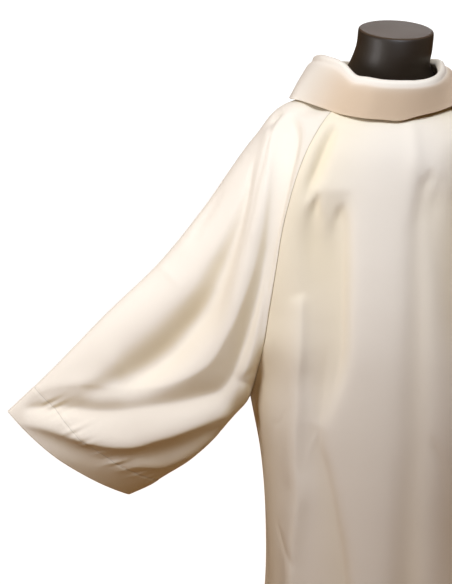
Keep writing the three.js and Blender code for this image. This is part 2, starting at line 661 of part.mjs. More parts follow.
const collarSheet = {
  grid: [
    neckRing,
    ...namedRows(rollRows, rollColumns).map((roll) =>
      neckRing.map((seam) => {
        const neckDepth = (seam.y < 0 ? frontRows : backRows)[0][1];
        const angle = Math.atan2(seam.x / collarFromNeck, -seam.y / neckDepth);
        const { crest, edge } = collarAround(THREE.MathUtils.radToDeg(angle));
        return seam.clone().multiplyScalar(roll.seam)
          .addScaledVector(crest, roll.crest)
          .addScaledVector(edge, roll.edge)
          .addScaledVector(vector(Math.sin(angle), -Math.cos(angle), 0), roll.outwards)
          .add(vector(0, 0, roll.up));
      }),
    ),
  ],
  wrap: true,
  turn: 1,
  seams: ["first"],
};

const normals = sharedNormals([[frontSheet, backSheet], [rightSleeve], [leftSleeve], [collarSheet]]);

// Dress form, pole and base.
function formGeometry() {
  const parts = 2, last = (formRows.length - 1) * parts;
  const rings = steps(0, last, last).map((k) => {
    const r = smoothRow(formRows, formColumns, k / parts);
    return steps(0, 2 * Math.PI, formSides).slice(0, -1).map((angle) => {
      const depth = Math.cos(angle) > 0 ? r.front : r.back;
      const y = -depth * Math.cos(angle);
      return vector(
        r.middleX + r.halfWidth * Math.sin(angle),
        r.middleY + y,
        r.level + r.sideRise * Math.sin(angle) ** 2 + r.slope * y,
      );
    });
  });
  const positions = rings.flat().flatMap((p) => [p.x, p.y, p.z]);
  const low = smoothRow(formRows, formColumns, 0), top = smoothRow(formRows, formColumns, last);
  positions.push(low.middleX, low.middleY, low.level, top.middleX, top.middleY, top.level);
  const index = [], n = formSides, lowCentre = rings.length * n, topCentre = lowCentre + 1;
  for (let j = 0; j < n; j++) {
    const k = (j + 1) % n;
    for (let i = 0; i < rings.length - 1; i++) {
      index.push(i * n + j, i * n + k, (i + 1) * n + k, i * n + j, (i + 1) * n + k, (i + 1) * n + j);
    }
    index.push(lowCentre, k, j, topCentre, (rings.length - 1) * n + j, (rings.length - 1) * n + k);
  }
  const geometry = new THREE.BufferGeometry();
  geometry.setAttribute("position", new THREE.Float32BufferAttribute(positions, 3));
  geometry.setIndex(index);
  geometry.computeVertexNormals();
  return geometry;
}

function turned(profile, segments) {
  const lathe = new THREE.LatheGeometry(profile.map(([r, z]) => new THREE.Vector2(r, z)), segments);
  return lathe.rotateX(Math.PI / 2);
}
const formBottom = formRows[0][0];
const poleProfile = [
  [0, baseThickness + 0.3], [36, baseThickness + 0.3], [36, baseThickness + 5],
  [poleRadius + 4, baseThickness + 16], [poleRadius, baseThickness + 17],
  [poleRadius, formBottom - 9], [44, formBottom - 7], [46, formBottom - 5],
  [46, formBottom - 0.3], [0, formBottom - 0.3],
];
const baseProfile = [
  [0, 0], [baseRadius - 1, 0], [baseRadius, 1], [baseRadius, baseThickness - 4],
  [baseRadius - 4, baseThickness - 1], [baseRadius - 10, baseThickness], [0, baseThickness],
];

const alb = new THREE.Group();
alb.name = "alb";
alb.add(
  namedMesh("front_panel", wallGeometry(frontSheet, normals, clothWall), ivory, 0.85),
  namedMesh("back_panel", wallGeometry(backSheet, normals, clothWall), ivory, 0.85),
  namedMesh("sleeve_right", wallGeometry(rightSleeve, normals, clothWall), ivory, 0.85),
  namedMesh("sleeve_left", wallGeometry(leftSleeve, normals, clothWall), ivory, 0.85),
  namedMesh("collar", wallGeometry(collarSheet, normals, collarWall), ivory, 0.85),
  namedMesh("form_torso", formGeometry(), formBrown, 0.3),
  namedMesh("stand_pole", turned(poleProfile, 32), standGrey, 0.4),
  namedMesh("stand_base", turned(baseProfile, 48), standGrey, 0.5),
);
export default alb;
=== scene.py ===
import math

import bpy
import numpy as np
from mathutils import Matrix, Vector


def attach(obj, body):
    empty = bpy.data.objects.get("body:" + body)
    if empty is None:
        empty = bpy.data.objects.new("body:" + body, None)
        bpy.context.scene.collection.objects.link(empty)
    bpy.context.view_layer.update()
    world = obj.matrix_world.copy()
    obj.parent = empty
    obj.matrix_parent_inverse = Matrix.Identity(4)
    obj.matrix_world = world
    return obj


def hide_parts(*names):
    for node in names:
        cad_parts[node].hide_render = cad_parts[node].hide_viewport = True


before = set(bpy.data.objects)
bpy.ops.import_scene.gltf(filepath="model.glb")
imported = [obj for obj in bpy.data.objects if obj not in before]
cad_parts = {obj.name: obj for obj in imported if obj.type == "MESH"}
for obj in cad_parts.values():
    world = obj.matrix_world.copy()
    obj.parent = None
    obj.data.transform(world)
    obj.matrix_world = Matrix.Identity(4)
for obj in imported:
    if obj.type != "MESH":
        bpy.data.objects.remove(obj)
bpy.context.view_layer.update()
print("frame loaded")

# Tables are in millimetres in the CAD frame: x to the wearer's left, -y in front, z up.
# They become metres where a mesh is made.
mm = 0.001
armpitRow = 9
sidewaysCount = 0.3  # how much a step sideways counts round a sleeve
collarFromNeck = 98
neckSide = (-2, 1459)  # y and z of the neckline at the shoulder
crownSteps = 8  # points on each half of the sleeve's crown
seamSteps = 120  # points along a seam line, for measuring
sheetMarks = ("stitchAway", "stitchAlong", "pucker", "paintedShade")  # what the cloth's material reads

cloth = {
    "thickness": 1.1,
    "gridStep": 4.85,
    "seamMarks": [0, 0.5, 1.0, 1.8, 3.6],  # mesh rows this far from a seam
    "seamSink": 1.3,
    "seamRoll": 1.8,
    "calm": 14,  # folds die away over this distance from a seam
    "stitchLift": 0.25,
    "foldSteps": 10,  # straight runs to each row of a fold's table
    "softReach": 2.7,  # widths at which a soft fold has died away
    "crispReach": 5,  # and a crisp one, shared by its power
    "fineSteps": 160,  # for measuring lengths over a sheet
    "hemDepth": 28,
    "hemGroove": 0.55,
    "hemLayer": 0.45,
    "hemEdge": 2.4,
    "hemRows": (2, 0, -2),  # mesh rows this far from the hem's stitches
    "edgeRows": (3, 1, 0),  # and this far from a free edge
    "panelPucker": 0.5,
}


def smoothAt(values, places, knots=None):
    # A Hermite spline through the rows of a table. With a third axis, each column of places
    # has its own column of values.
    values = np.asarray(values, float)
    knots = np.arange(len(values), dtype=float) if knots is None else np.asarray(knots, float)
    places = np.clip(places, knots[0], knots[-1])
    i = np.clip(np.searchsorted(knots, places) - 1, 0, len(knots) - 2)
    gaps = np.diff(knots).reshape(-1, *[1] * (values.ndim - 1))
    rises = np.diff(values, axis=0) / gaps
    inner = (rises[:-1] * gaps[1:] + rises[1:] * gaps[:-1]) / (gaps[:-1] + gaps[1:])
    slopes = np.concatenate([rises[:1], inner, rises[-1:]])

    def pick(table, k):
        return table[k, np.arange(table.shape[1])] if values.ndim == 3 else table[k]

    span = (knots[i + 1] - knots[i])[..., None]
    u = (places - knots[i])[..., None] / span
    return (
        pick(values, i) * (2 * u**3 - 3 * u**2 + 1)
        + pick(slopes, i) * span * (u**3 - 2 * u**2 + u)
        + pick(values, i + 1) * (3 * u**2 - 2 * u**3)
        + pick(slopes, i + 1) * span * (u**3 - u**2)
    )


def panelPoints(panel, across, row):
    rows = np.array(panel["rows"], float)
    across, row = np.broadcast_arrays(np.asarray(across, float), np.asarray(row, float))
    middleZ, middleDepth = np.moveaxis(smoothAt(rows[:, :2], row), -1, 0)
    upper = smoothAt(rows[: armpitRow + 1, 2:], row)
    lower = smoothAt(rows[armpitRow:, 2:], row - armpitRow)
    edgeX, edgeDepth, edgeZ = np.moveaxis(np.where(row[..., None] <= armpitRow, upper, lower), -1, 0)
    edgeAngle = np.arccos(np.clip(edgeDepth / middleDepth, -1, 1))
    part = np.sin(across * edgeAngle) / np.sin(edgeAngle)
    y = panel["facing"] * middleDepth * np.cos(across * edgeAngle)
    return np.stack([edgeX * part, y, middleZ + (edgeZ - middleZ) * part**2], axis=-1)


def lengths(points, axis=0, weights=(1, 1, 1)):
    step = np.linalg.norm(np.diff(points, axis=axis) * weights, axis=-1)
    start = np.zeros_like(np.take(step, [0], axis=axis))
    return np.concatenate([start, np.cumsum(step, axis=axis)], axis=axis)


def alongLine(points, fractions):
    reach = lengths(points, weights=(sidewaysCount, sidewaysCount, 1))
    want = np.clip(fractions, 0, 1) * reach[-1]
    return np.stack([np.interp(want, reach, points[:, k]) for k in range(3)], axis=-1)


def spacedBetween(marks, step):
    # marks are arrays of distances, each a line that the mesh follows. Between two lines the
    # mesh lines are spread evenly, no more than a step apart.
    marks = np.array(marks, float)
    lines = [marks[0]]
    for low, high in zip(marks[:-1], marks[1:]):
        count = max(1, math.ceil((high - low).max() / step - 1e-6))
        lines += [low + (high - low) * k / count for k in range(1, count + 1)]
    return np.array(lines)


def gridNormals(grid, wrap, outward):
    if wrap:
        around = np.concatenate([grid[:, -1:], grid, grid[:, :1]], axis=1)
        across = around[:, 2:] - around[:, :-2]
    else:
        across = np.gradient(grid, axis=1)
    normals = np.cross(across, np.gradient(grid, axis=0)) * outward
    return normals / np.maximum(np.linalg.norm(normals, axis=-1, keepdims=True), 1e-9)


def foldDepth(points, normals, line, facts, fall):
    # How far a fold sinks each point. The line is smooth through its table; each point takes
    # the depth and width of the nearest place on it, with its own width and its own power of
    # the fall on either side. A power of 2 is a soft fold, and one near 1 a crisp edge.
    places = np.linspace(0, len(line) - 1, (len(line) - 1) * cloth["foldSteps"] + 1)
    line, facts = smoothAt(line, places), smoothAt(facts, places)
    reach = max(cloth["softReach"], cloth["crispReach"] / min(fall)) * facts[:, 1:3].max()
    near = np.all((points > line.min(0) - reach) & (points < line.max(0) + reach), axis=-1)
    p, n = points[near], normals[near]
    best = np.full(len(p), np.inf)
    sunk = np.zeros(len(p))
    for k in range(len(places) - 1):
        run = line[k + 1] - line[k]
        t = np.clip((p - line[k]) @ run / max(run @ run, 1e-9), 0, 1)
        off = p - line[k] - t[:, None] * run
        away = np.linalg.norm(off, axis=1)
        closer = away < best
        if not closer.any():
            continue
        here = facts[k] + (facts[k + 1] - facts[k]) * t[closer, None]
        leftwards = np.einsum("ij,ij->i", off[closer], np.cross(n[closer], run)) > 0
        width = np.where(leftwards, here[:, 1], here[:, 2])
        power = np.where(leftwards, *fall)
        best[closer] = away[closer]
        sunk[closer] = here[:, 0] * np.exp(-((away[closer] / width) ** power))
    total = np.zeros(points.shape[:-1])
    total[near] = sunk
    return total


def sinkOf(grid, normals, made, placeOf, calm):
    # How far all the folds of a piece together sink its sheet. A row with one width has it on
    # both sides.
    total = np.zeros(grid.shape[:-1])
    for name, rows in made["folds"].items():
        table = np.array([row if len(row) == 5 else [*row, row[3]] for row in rows], float)
        line = placeOf(table[:, 0], table[:, 1])
        total += foldDepth(grid, normals, line, table[:, 2:], made["falls"].get(name, (2, 2)))
    return total * calm


def smoothStep(x, low, high):
    t = np.clip((x - low) / (high - low), 0, 1)
    return t * t * (3 - 2 * t)


def ripple(along, wave, seed, count=4000):
    # Uneven waves along a line, from -1 to 1, the same on every run.
    heights = np.random.default_rng(seed).uniform(-1, 1, count)
    place = along / wave + count // 4
    i = np.floor(place).astype(int) % (count - 1)
    t = smoothStep(place - np.floor(place), 0, 1)
    return heights[i] * (1 - t) + heights[i + 1] * t


def addObject(name, data):
    made = bpy.data.objects.new(name, data)
    bpy.context.scene.collection.objects.link(made)
    return made


def stitchMarks(lines, apart=5000):
    # For each point: how far the nearest row of stitches is, and how far along it the point
    # lies. Each line is a pair of grids, and the lines are kept apart along their length.
    away = np.stack([np.abs(line[0]) for line in lines])
    along = np.stack([line[1] + apart * k for k, line in enumerate(lines)])
    nearest = away.argmin(axis=0)[None]
    return [np.take_along_axis(a, nearest, axis=0)[0] * mm for a in (away, along)]


def clothMesh(name, grid, wrap, outward, uv, lines, pucker, paintedShade):
    # A sheet as a mesh of quads in metres, with the cloth's own lengths as its UV map.
    rows, count = grid.shape[:2]
    across = count if wrap else count - 1
    i, j = np.meshgrid(np.arange(rows - 1), np.arange(across), indexing="ij")
    k = (j + 1) % count
    corners = [(i, j), (i, k), (i + 1, k), (i + 1, j)]
    uvCorners = [(i, j), (i, j + 1), (i + 1, j + 1), (i + 1, j)]
    if outward < 0:
        corners, uvCorners = corners[::-1], uvCorners[::-1]
    faces = np.stack([a * count + b for a, b in corners], axis=-1).reshape(-1, 4)
    loopUv = np.stack([uv[a, b] for a, b in uvCorners], axis=2).reshape(-1, 2)
    mesh = bpy.data.meshes.new(name)
    mesh.vertices.add(rows * count)
    mesh.vertices.foreach_set("co", (grid * mm).astype(np.float32).ravel())
    mesh.loops.add(faces.size)
    mesh.loops.foreach_set("vertex_index", faces.ravel().astype(np.int32))
    mesh.polygons.add(len(faces))
    mesh.polygons.foreach_set("loop_start", np.arange(0, faces.size, 4, dtype=np.int32))
    mesh.polygons.foreach_set("loop_total", np.full(len(faces), 4, np.int32))
    mesh.polygons.foreach_set("use_smooth", np.ones(len(faces), bool))
    layer = mesh.uv_layers.new(name="cloth")
    layer.data.foreach_set("uv", (loopUv * mm).astype(np.float32).ravel())
    for key, values in zip(sheetMarks, (*stitchMarks(lines), pucker, paintedShade)):
        held = mesh.attributes.new(key, "FLOAT", "POINT")
        held.data.foreach_set("value", values.astype(np.float32).ravel())
    mesh.update()
    mesh.validate()
    return mesh


def nodeMaterial(name):
    material = bpy.data.materials.new(name)
    material.use_nodes = True
    tree = material.node_tree
    return material, tree, tree.nodes["Principled BSDF"]


def fillSockets(tree, node, inputs):
    # A Mix node has a socket of each name for each data type, and only one of them is enabled.
    live = {socket.name: socket for socket in reversed(node.inputs) if socket.enabled}
    for key, value in inputs.items():
        socket = live[key] if isinstance(key, str) else node.inputs[key]
        if isinstance(value, bpy.types.NodeSocket):
            tree.links.new(value, socket)
        else:
            socket.default_value = value


def addNode(tree, kind, inputs=None, **settings):
    made = tree.nodes.new(kind)
    for key, value in settings.items():
        setattr(made, key, value)
    fillSockets(tree, made, inputs or {})
    return made


def addMath(tree, operation, *values):
    return addNode(tree, "ShaderNodeMath", dict(enumerate(values)), operation=operation).outputs[0]


def addNoise(tree, place, scale, detail, distortion=0, **settings):
    inputs = {"Vector": place, "Scale": scale, "Detail": detail, "Distortion": distortion}
    return addNode(tree, "ShaderNodeTexNoise", inputs, **settings).outputs["Fac"]


def addRange(tree, value, toMin, toMax, fromMin=0, fromMax=1, **settings):
    inputs = {"Value": value, "From Min": fromMin, "From Max": fromMax, "To Min": toMin, "To Max": toMax}
    return addNode(tree, "ShaderNodeMapRange", inputs, **settings).outputs[0]


def addMix(tree, factor, first, second, kind="RGBA"):
    inputs = {"Factor": factor, "A": first, "B": second}
    made = addNode(tree, "ShaderNodeMix", inputs, data_type=kind)
    return next(socket for socket in made.outputs if socket.enabled)


def objectPlace(tree):
    return addNode(tree, "ShaderNodeTexCoord").outputs["Object"]


def addBump(tree, height, distance):
    return addNode(tree, "ShaderNodeBump", {"Height": height, "Distance": distance * mm}).outputs[0]


clothLook = {
    "colour": (0.9, 0.85, 0.76, 1),
    "patchColour": (0.89, 0.835, 0.735, 1),
    # painted shade: cloth in folds and out of the light is painted towards this colour
    "paintedShadeColour": (0.86, 0.76, 0.54, 1),
    "collarShade": (0.73, 0.58, 0.42, 1),
    "shadeDepth": 16,  # a panel's fold has its fullest painted shade at this depth
    "foldShade": 0.5,  # how strong the painted shade is there
    "sideShade": 0.6,  # how strong the painted shade is at a panel's side
    "sideReach": 70,  # and how far in that reaches
    "hollowColour": (0.76, 0.63, 0.38, 1),
    "hollowReach": 170,
    "hollowShare": 0.7,
    "thread": 0.42,  # millimetres from thread to thread
    "weaveHeight": 0.05,
    "creaseHeight": 0.22,
    "puckerHeight": 0.5,
    "puckerReach": 10,
    "lineWidth": 0.8,  # of the dark line of painted shade at the stitches
    "lineShade": 0.55,
    "gapShade": 0.95,  # of the gaps between the threads
    "bandScale": 0.314159,  # the Wave node's scale for bands one unit apart
    "creaseScale": 42,
    "patchScale": 5,
    "puckersPerMetre": 330,
    "puckerStretch": 25,
    "roughness": (0.56, 0.7),
    "specular": 0.35,
    "sheen": 0.2,
    "sheenRoughness": 0.4,
}


def makeCloth(name, paintedShadeColour):
    look = clothLook
    material, tree, shader = nodeMaterial(name)
    uv = addNode(tree, "ShaderNodeUVMap", uv_map="cloth").outputs[0]
    place = objectPlace(tree)
    pitch = look["thread"] * mm
    inputs = {"Vector": uv, "Scale": look["bandScale"] / pitch}
    warp, weft = [
        addNode(tree, "ShaderNodeTexWave", inputs, bands_direction=way).outputs["Fac"] for way in "XY"
    ]
    over = addNode(tree, "ShaderNodeTexChecker", {"Vector": uv, "Scale": 1 / pitch}).outputs["Fac"]
    weave = addMix(tree, over, warp, weft, "FLOAT")
    creases = addNoise(tree, place, look["creaseScale"], 3, 0.4)
    # Small puckers stand square to a row of stitches and die away from it.
    away, alongSeam, share, paintedShade = [
        addNode(tree, "ShaderNodeAttribute", attribute_name=key).outputs["Fac"] for key in sheetMarks
    ]
    inputs = {
        "X": addMath(tree, "MULTIPLY", alongSeam, look["puckersPerMetre"]),
        "Y": addMath(tree, "MULTIPLY", away, look["puckerStretch"]),
    }
    waves = addNode(tree, "ShaderNodeCombineXYZ", inputs).outputs[0]
    pucker = addNoise(tree, waves, 1, 1, noise_dimensions="2D")
    near = addRange(tree, away, 1, 0, 0, look["puckerReach"] * mm, interpolation_type="SMOOTHSTEP")
    pucker = addMath(tree, "MULTIPLY", pucker, addMath(tree, "MULTIPLY", near, share))
    height = addMath(tree, "MULTIPLY", weave, look["weaveHeight"])
    height = addMath(tree, "MULTIPLY_ADD", creases, look["creaseHeight"], height)
    height = addMath(tree, "MULTIPLY_ADD", pucker, look["puckerHeight"], height)
    # Uneven yarn and dye, then painted shade: creamier in the folds, at a panel's side and on cloth
    # turned from the light.
    patches = addNoise(tree, place, look["patchScale"], 4)
    base = addMix(tree, patches, look["colour"], look["patchColour"])
    base = addMix(tree, paintedShade, base, paintedShadeColour)
    # Hollows that the light hardly reaches look browner through the thin cloth.
    inputs = {"Distance": look["hollowReach"] * mm}
    openness = addNode(tree, "ShaderNodeAmbientOcclusion", inputs, samples=4).outputs["AO"]
    base = addMix(tree, addRange(tree, openness, look["hollowShare"], 0), base, look["hollowColour"])
    # Painted shade: a fine dark line where the stitches pull the cloth in, and slightly darker gaps in
    # the weave.
    line = addRange(tree, away, look["lineShade"], 1, 0, look["lineWidth"] * mm)
    shade = addMath(tree, "MULTIPLY", line, addRange(tree, weave, look["gapShade"], 1))
    base = addNode(tree, "ShaderNodeVectorMath", {0: base, "Scale": shade}, operation="SCALE")
    fillSockets(tree, shader, {
        "Base Color": base.outputs[0],
        "Normal": addBump(tree, height, 1),
        "Roughness": addRange(tree, creases, *look["roughness"]),
        "Specular IOR Level": look["specular"],
        "Sheen Weight": look["sheen"],
        "Sheen Roughness": look["sheenRoughness"],
    })
    return material


threadLook = {
    "dark": (0.78, 0.73, 0.65, 1),
    "light": (0.9, 0.86, 0.8, 1),
    "twistScale": 700,
    "twistHeight": 0.05,
    "roughness": 0.4,
    "sheen": 0.1,
}


def makeThread():
    look = threadLook
    material, tree, shader = nodeMaterial("ivoryThread")
    # Painted shade and highlight: the thread is darker and lighter along its twist, which its bump
    # follows too.
    inputs = {"Vector": objectPlace(tree), "Scale": look["twistScale"], "Distortion": 1}
    twist = addNode(tree, "ShaderNodeTexWave", inputs, bands_direction="DIAGONAL").outputs["Fac"]
    fillSockets(tree, shader, {
        "Base Color": addMix(tree, twist, look["dark"], look["light"]),
        "Normal": addBump(tree, twist, look["twistHeight"]),
        "Roughness": look["roughness"],
        "Sheen Weight": look["sheen"],
    })
    return material


ivory = makeCloth("ivoryPolyester", clothLook["paintedShadeColour"])
collarCloth = makeCloth("collarPolyester", clothLook["collarShade"])
threadMaterial = makeThread()


frontPanel = {
    "name": "frontPanel",
    "node": "front_panel",
    "facing": -1,
    "cut": [(0.86, 1.42), "hung", ["form_torso"], 0.83],
    # Down the panel: middle level, middle depth, edge x, edge depth, edge level.
    "rows": [
        [1441, 94, 80, 54, 1447], [1412, 113, 118, 82, 1430], [1370, 130, 150, 100, 1387],
        [1328, 138, 170, 108, 1343], [1285, 143.5, 183, 109, 1300], [1238, 150, 194, 105, 1250],
        [1180, 158, 203, 101, 1188], [1118, 165, 212, 93, 1122], [1046, 169, 221, 78, 1052],
        [962, 168, 231, 8, 962], [860, 164, 212, 0, 860], [740, 160, 201.5, 0, 740],
        [620, 161, 198, 0, 620], [480, 172, 209, 0, 480], [280, 192, 235, 0, 280],
        [60, 216, 268, 0, 60],
    ],
    # Each row of a fold: across from the wearer's right, -1 to 1, the table row, how deep it
    # sinks, and its width to the left and to the right of its run.
    "folds": {
        "besideSeam": [
            [-0.85, 1.3, 0, 8, 7], [-0.84, 1.6, 5, 10, 8], [-0.84, 2.1, 8, 12, 9],
            [-0.84, 2.6, 8, 13, 9], [-0.85, 3.1, 7, 13, 9], [-0.86, 3.5, 4, 12, 9],
            [-0.855, 4, 0, 12, 9],
        ],
        "sidePleat": [
            [-0.765, 3.6, 0, 6, 5], [-0.768, 3.85, 3.5, 7, 6], [-0.77, 4.08, 6.5, 8, 7],
            [-0.765, 4.4, 6, 13, 11], [-0.75, 4.8, 5.5, 19, 16], [-0.73, 5.3, 5.5, 24, 19],
            [-0.7, 5.8, 4, 27, 20], [-0.66, 6.4, 2, 28, 20], [-0.62, 7, 0, 28, 20],
        ],
        "pleatLine": [
            [-0.755, 6.5, 0, 7, 16], [-0.735, 6.76, -4, 8, 20], [-0.705, 7.36, -7, 9, 24],
            [-0.675, 7.91, -9, 10, 26], [-0.63, 8.36, -9, 10, 26], [-0.56, 8.78, -9, 11, 26],
            [-0.535, 9.14, -9, 11, 26], [-0.55, 9.47, -10, 12, 26], [-0.56, 9.89, -11, 13, 28],
            [-0.555, 10.31, -12, 14, 28], [-0.58, 10.7, -13, 14, 28], [-0.61, 11.15, -14, 15, 28],
            [-0.625, 11.63, -15, 16, 28], [-0.64, 13, -17, 24, 30], [-0.62, 15, -19, 32, 32],
        ],
        "pleatFloor": [
            [-0.52, 7.5, 0, 10, 14], [-0.48, 8.4, 2, 10, 16], [-0.435, 9.38, 4, 10, 20],
            [-0.4, 10, 6, 10, 26], [-0.365, 10.6, 8, 11, 34], [-0.325, 11.4, 10, 12, 42],
            [-0.3, 13, 13, 20, 50], [-0.3, 15, 18, 26, 54],
        ],
        "chestHollow": [
            [-0.56, 3.4, 0, 14, 40], [-0.53, 4.4, 9, 14, 46], [-0.5, 5.6, 14, 15, 50],
            [-0.47, 6.8, 15, 16, 52], [-0.44, 8, 12, 16, 50], [-0.42, 9.2, 0, 16, 42],
        ],
        "armpitHollow": [
            [-1, 8.3, 0, 10, 6], [-1, 8.7, 6, 15, 8], [-0.99, 9.05, 9, 18, 9],
            [-0.96, 9.35, 6, 14, 9], [-0.93, 9.6, 0, 10, 8],
        ],
        "thinLine": [
            [-0.52, 8.7, 0, 3, 3], [-0.45, 9.05, -1.3, 3, 3], [-0.44, 9.3, -1.3, 3, 3],
            [-0.475, 9.55, -1.2, 3, 3], [-0.51, 9.9, 0, 3, 3],
        ],
        "chestDimple": [
            [-0.545, 3.9, 0, 6, 6], [-0.555, 4.15, 3.5, 7, 7], [-0.555, 4.4, 4, 10, 9],
            [-0.555, 5, 2.5, 17, 16], [-0.54, 5.6, 1.5, 22, 20], [-0.5, 6.6, 0, 24, 20],
        ],
        "middle": [
            [0.2, 2.5, 0, 9, 8], [0.16, 2.9, 4, 13, 11], [0.11, 3.3, 6, 16, 13],
            [0.07, 4.2, 6, 18, 15], [0.05, 5, 5, 20, 18], [0.04, 6.7, 5, 20, 20],
            [0.035, 7.7, 5, 20, 22], [0.03, 8.7, 5, 22, 24], [0.03, 9.5, 5, 24, 24],
            [0.02, 10.2, 6, 26, 26], [0.02, 11.4, 9, 28, 28], [0.03, 13, 15, 34, 34],
            [0.04, 15, 22, 40, 38],
        ],
        "secondDimple": [
            [0.3, 2.8, 0, 10, 9], [0.25, 3.2, 2.5, 14, 11], [0.21, 3.7, 4, 18, 13],
            [0.185, 4.3, 4, 22, 15], [0.19, 5.1, 3, 26, 18], [0.23, 6.2, 2, 28, 22],
            [0.25, 8, 0, 28, 24],
        ],
        "faintCrease": [
            [0.1, 9.3, 0, 5, 6], [0.14, 9.6, 2, 7, 8], [0.19, 9.95, 2, 8, 8], [0.24, 10.6, 0, 9, 9],
        ],
        "bowedLine": [
            [-0.75, 9.34, 0, 3, 3], [-0.69, 9.28, 1.2, 3, 3], [-0.64, 9.15, 1.2, 3, 3],
            [-0.605, 8.97, 0.8, 3, 3], [-0.6, 8.85, 0, 3, 3],
        ],
        "hemwardCrease": [
            [-0.79, 10.8, 0, 6, 6], [-0.755, 11, 2, 8, 7], [-0.7, 11.15, 2.2, 9, 7],
            [-0.645, 11.28, 1.8, 9, 7], [-0.6, 11.45, 0, 8, 6],
        ],
        "placket": [[0.015, 0.6, 0, 12], [0.03, 1.3, -2, 13], [0.03, 2.3, -2.5, 14], [-0.05, 3.2, 0, 12]],
        "leftPleatEdge": [
            [0.36, 7, 0, 20], [0.37, 9, -3, 26], [0.39, 11, -6, 28], [0.41, 13, -12, 30],
            [0.42, 15, -16, 32],
        ],
        "leftPleat": [
            [0.6, 1.6, 0, 14, 30], [0.58, 3, 16, 16, 46], [0.56, 4.4, 26, 18, 58],
            [0.54, 7, 34, 20, 68], [0.52, 9, 38, 22, 70], [0.52, 11, 40, 24, 68],
            [0.55, 13, 36, 32, 54], [0.6, 15, 32, 40],
        ],
        "rightSide": [[-0.8, 12, 0, 24], [-0.81, 13, -7, 26], [-0.82, 15, -12, 30]],
        "leftSide": [[0.78, 9.8, 0, 24], [0.8, 12, -9, 28], [0.82, 15, -13, 34]],
    },
    # How sharply a fold falls away on its left and right: 2 is soft, 1 a crisp edge.
    "falls": {
        "pleatLine": (1.3, 2), "pleatFloor": (1.5, 2), "besideSeam": (2, 1.7),
        "hemwardCrease": (1.5, 1.3), "bowedLine": (1.5, 1.5), "thinLine": (1.5, 1.5),
    },
}
backPanel = {
    "name": "backPanel",
    "node": "back_panel",
    "facing": 1,
    "cut": [(0.8, 1.43), "hung", ["form_torso"], 0.83],
    "rows": [
        [1466, 82, 78, 46, 1458], [1450, 106, 116, 76, 1438], [1412, 124, 148, 98, 1396],
        [1366, 134, 168, 110, 1350], [1314, 140, 182, 113, 1302], [1258, 143, 194, 109, 1250],
        [1192, 145, 204, 99, 1188], [1122, 146, 213, 82, 1122], [1048, 147, 222, 52, 1052],
        [962, 148, 231, -8, 962], [860, 149, 212, 0, 860], [740, 152, 201.5, 0, 740],
        [620, 157, 198, 0, 620], [480, 166, 209, 0, 480], [280, 182, 235, 0, 280],
        [60, 200, 268, 0, 60],
    ],
    "folds": {
        "rightBlade": [
            [-0.52, 3.6, 0, 16], [-0.5, 5, 7, 18], [-0.5, 7.5, 9, 24], [-0.48, 10, 16, 28],
            [-0.5, 12.5, 24, 32], [-0.54, 15, 30, 38],
        ],
        "spine": [
            [0.04, 5.5, 0, 22], [0.02, 8, 8, 28], [0, 10.5, 14, 32], [-0.02, 13, 20, 36],
            [-0.04, 15, 26, 38],
        ],
        "leftBlade": [
            [0.55, 3.8, 0, 16], [0.53, 5.4, 8, 18], [0.5, 8, 9, 24], [0.5, 10.4, 17, 28],
            [0.52, 12.6, 25, 32], [0.52, 15, 30, 38],
        ],
        "rightRidge": [
            [-0.24, 6, 0, 26], [-0.25, 9, -8, 30], [-0.26, 12, -14, 34], [-0.28, 15, -20, 38],
        ],
        "leftRidge": [
            [0.28, 6.5, 0, 26], [0.26, 9.5, -8, 30], [0.25, 12, -15, 34], [0.24, 15, -20, 38],
        ],
        "rightSide": [[-0.78, 10, 0, 24], [-0.8, 12, -8, 28], [-0.82, 15, -14, 34]],
        "leftSide": [[0.8, 10.4, 0, 24], [0.8, 12.4, -9, 28], [0.8, 15, -14, 34]],
    },
    "falls": {},
}


def panelGrid(panel):
    marks = cloth["seamMarks"]
    hemDepth = cloth["hemDepth"]
    lastRow = len(panel["rows"]) - 1
    fineRows = np.linspace(0, lastRow, lastRow * 40 + 1)
    down = lengths(panelPoints(panel, 0, fineRows))
    whole = down[-1]
    hem = [*[hemDepth + row for row in cloth["hemRows"]], *cloth["edgeRows"]]
    distances = [np.array([d]) for d in [*marks, *[whole - h for h in hem]]]
    distances = spacedBetween(distances, cloth["gridStep"])[:, 0]
    rows = np.interp(distances, down, fineRows)
    fineAcross = np.linspace(-1, 1, cloth["fineSteps"] + 1)
    fine = panelPoints(panel, fineAcross[None], rows[:, None])
    over = lengths(fine, axis=1)
    width = over[:, -1]
    ends = [np.full_like(width, m) for m in marks]
    targets = spacedBetween([*ends, *[width - e for e in ends[::-1]]], cloth["gridStep"]).T
    across = np.array([np.interp(t, o, fineAcross) for t, o in zip(targets, over)])
    grid = panelPoints(panel, across, rows[:, None])
    down = np.broadcast_to(distances[:, None], targets.shape)
    sideAway = np.minimum(targets, width[:, None] - targets)
    hemAway = whole - hemDepth - down
    uv = np.stack([targets - width[:, None] / 2, -down], -1)
    return grid, sideAway, down, hemAway, targets, uv


# Where the arms hang, the sleeve seam lies sunk in a valley: how deep at each level, in
# millimetres, and how far it spreads over the sleeve and over the panel.
valley = {
    "levels": [962, 1000, 1060, 1120, 1180, 1240, 1300, 1350, 1400, 1440],
    "depths": [0, 0, 0, 1, 2, 3, 3, 2, 1, 0],
    "overSleeve": 40,
    "overPanel": 8,
    "fall": 1.6,
}


def sinkInwards(grid, depth, facing):
    return grid - np.stack([0 * depth, facing * depth, 0 * depth], axis=-1)


def sinkValley(grid, away, seamLevels, facing, spread):
    depth = np.interp(seamLevels, valley["levels"], valley["depths"])
    return sinkInwards(grid, depth * np.exp(-((away / spread) ** valley["fall"])), facing)


def seamDip(away):
    # Both sheets of a seam dip straight inwards, so no gap opens between them.
    return cloth["seamSink"] * np.clip(1 - away / cloth["seamRoll"], 0, 1) ** 2


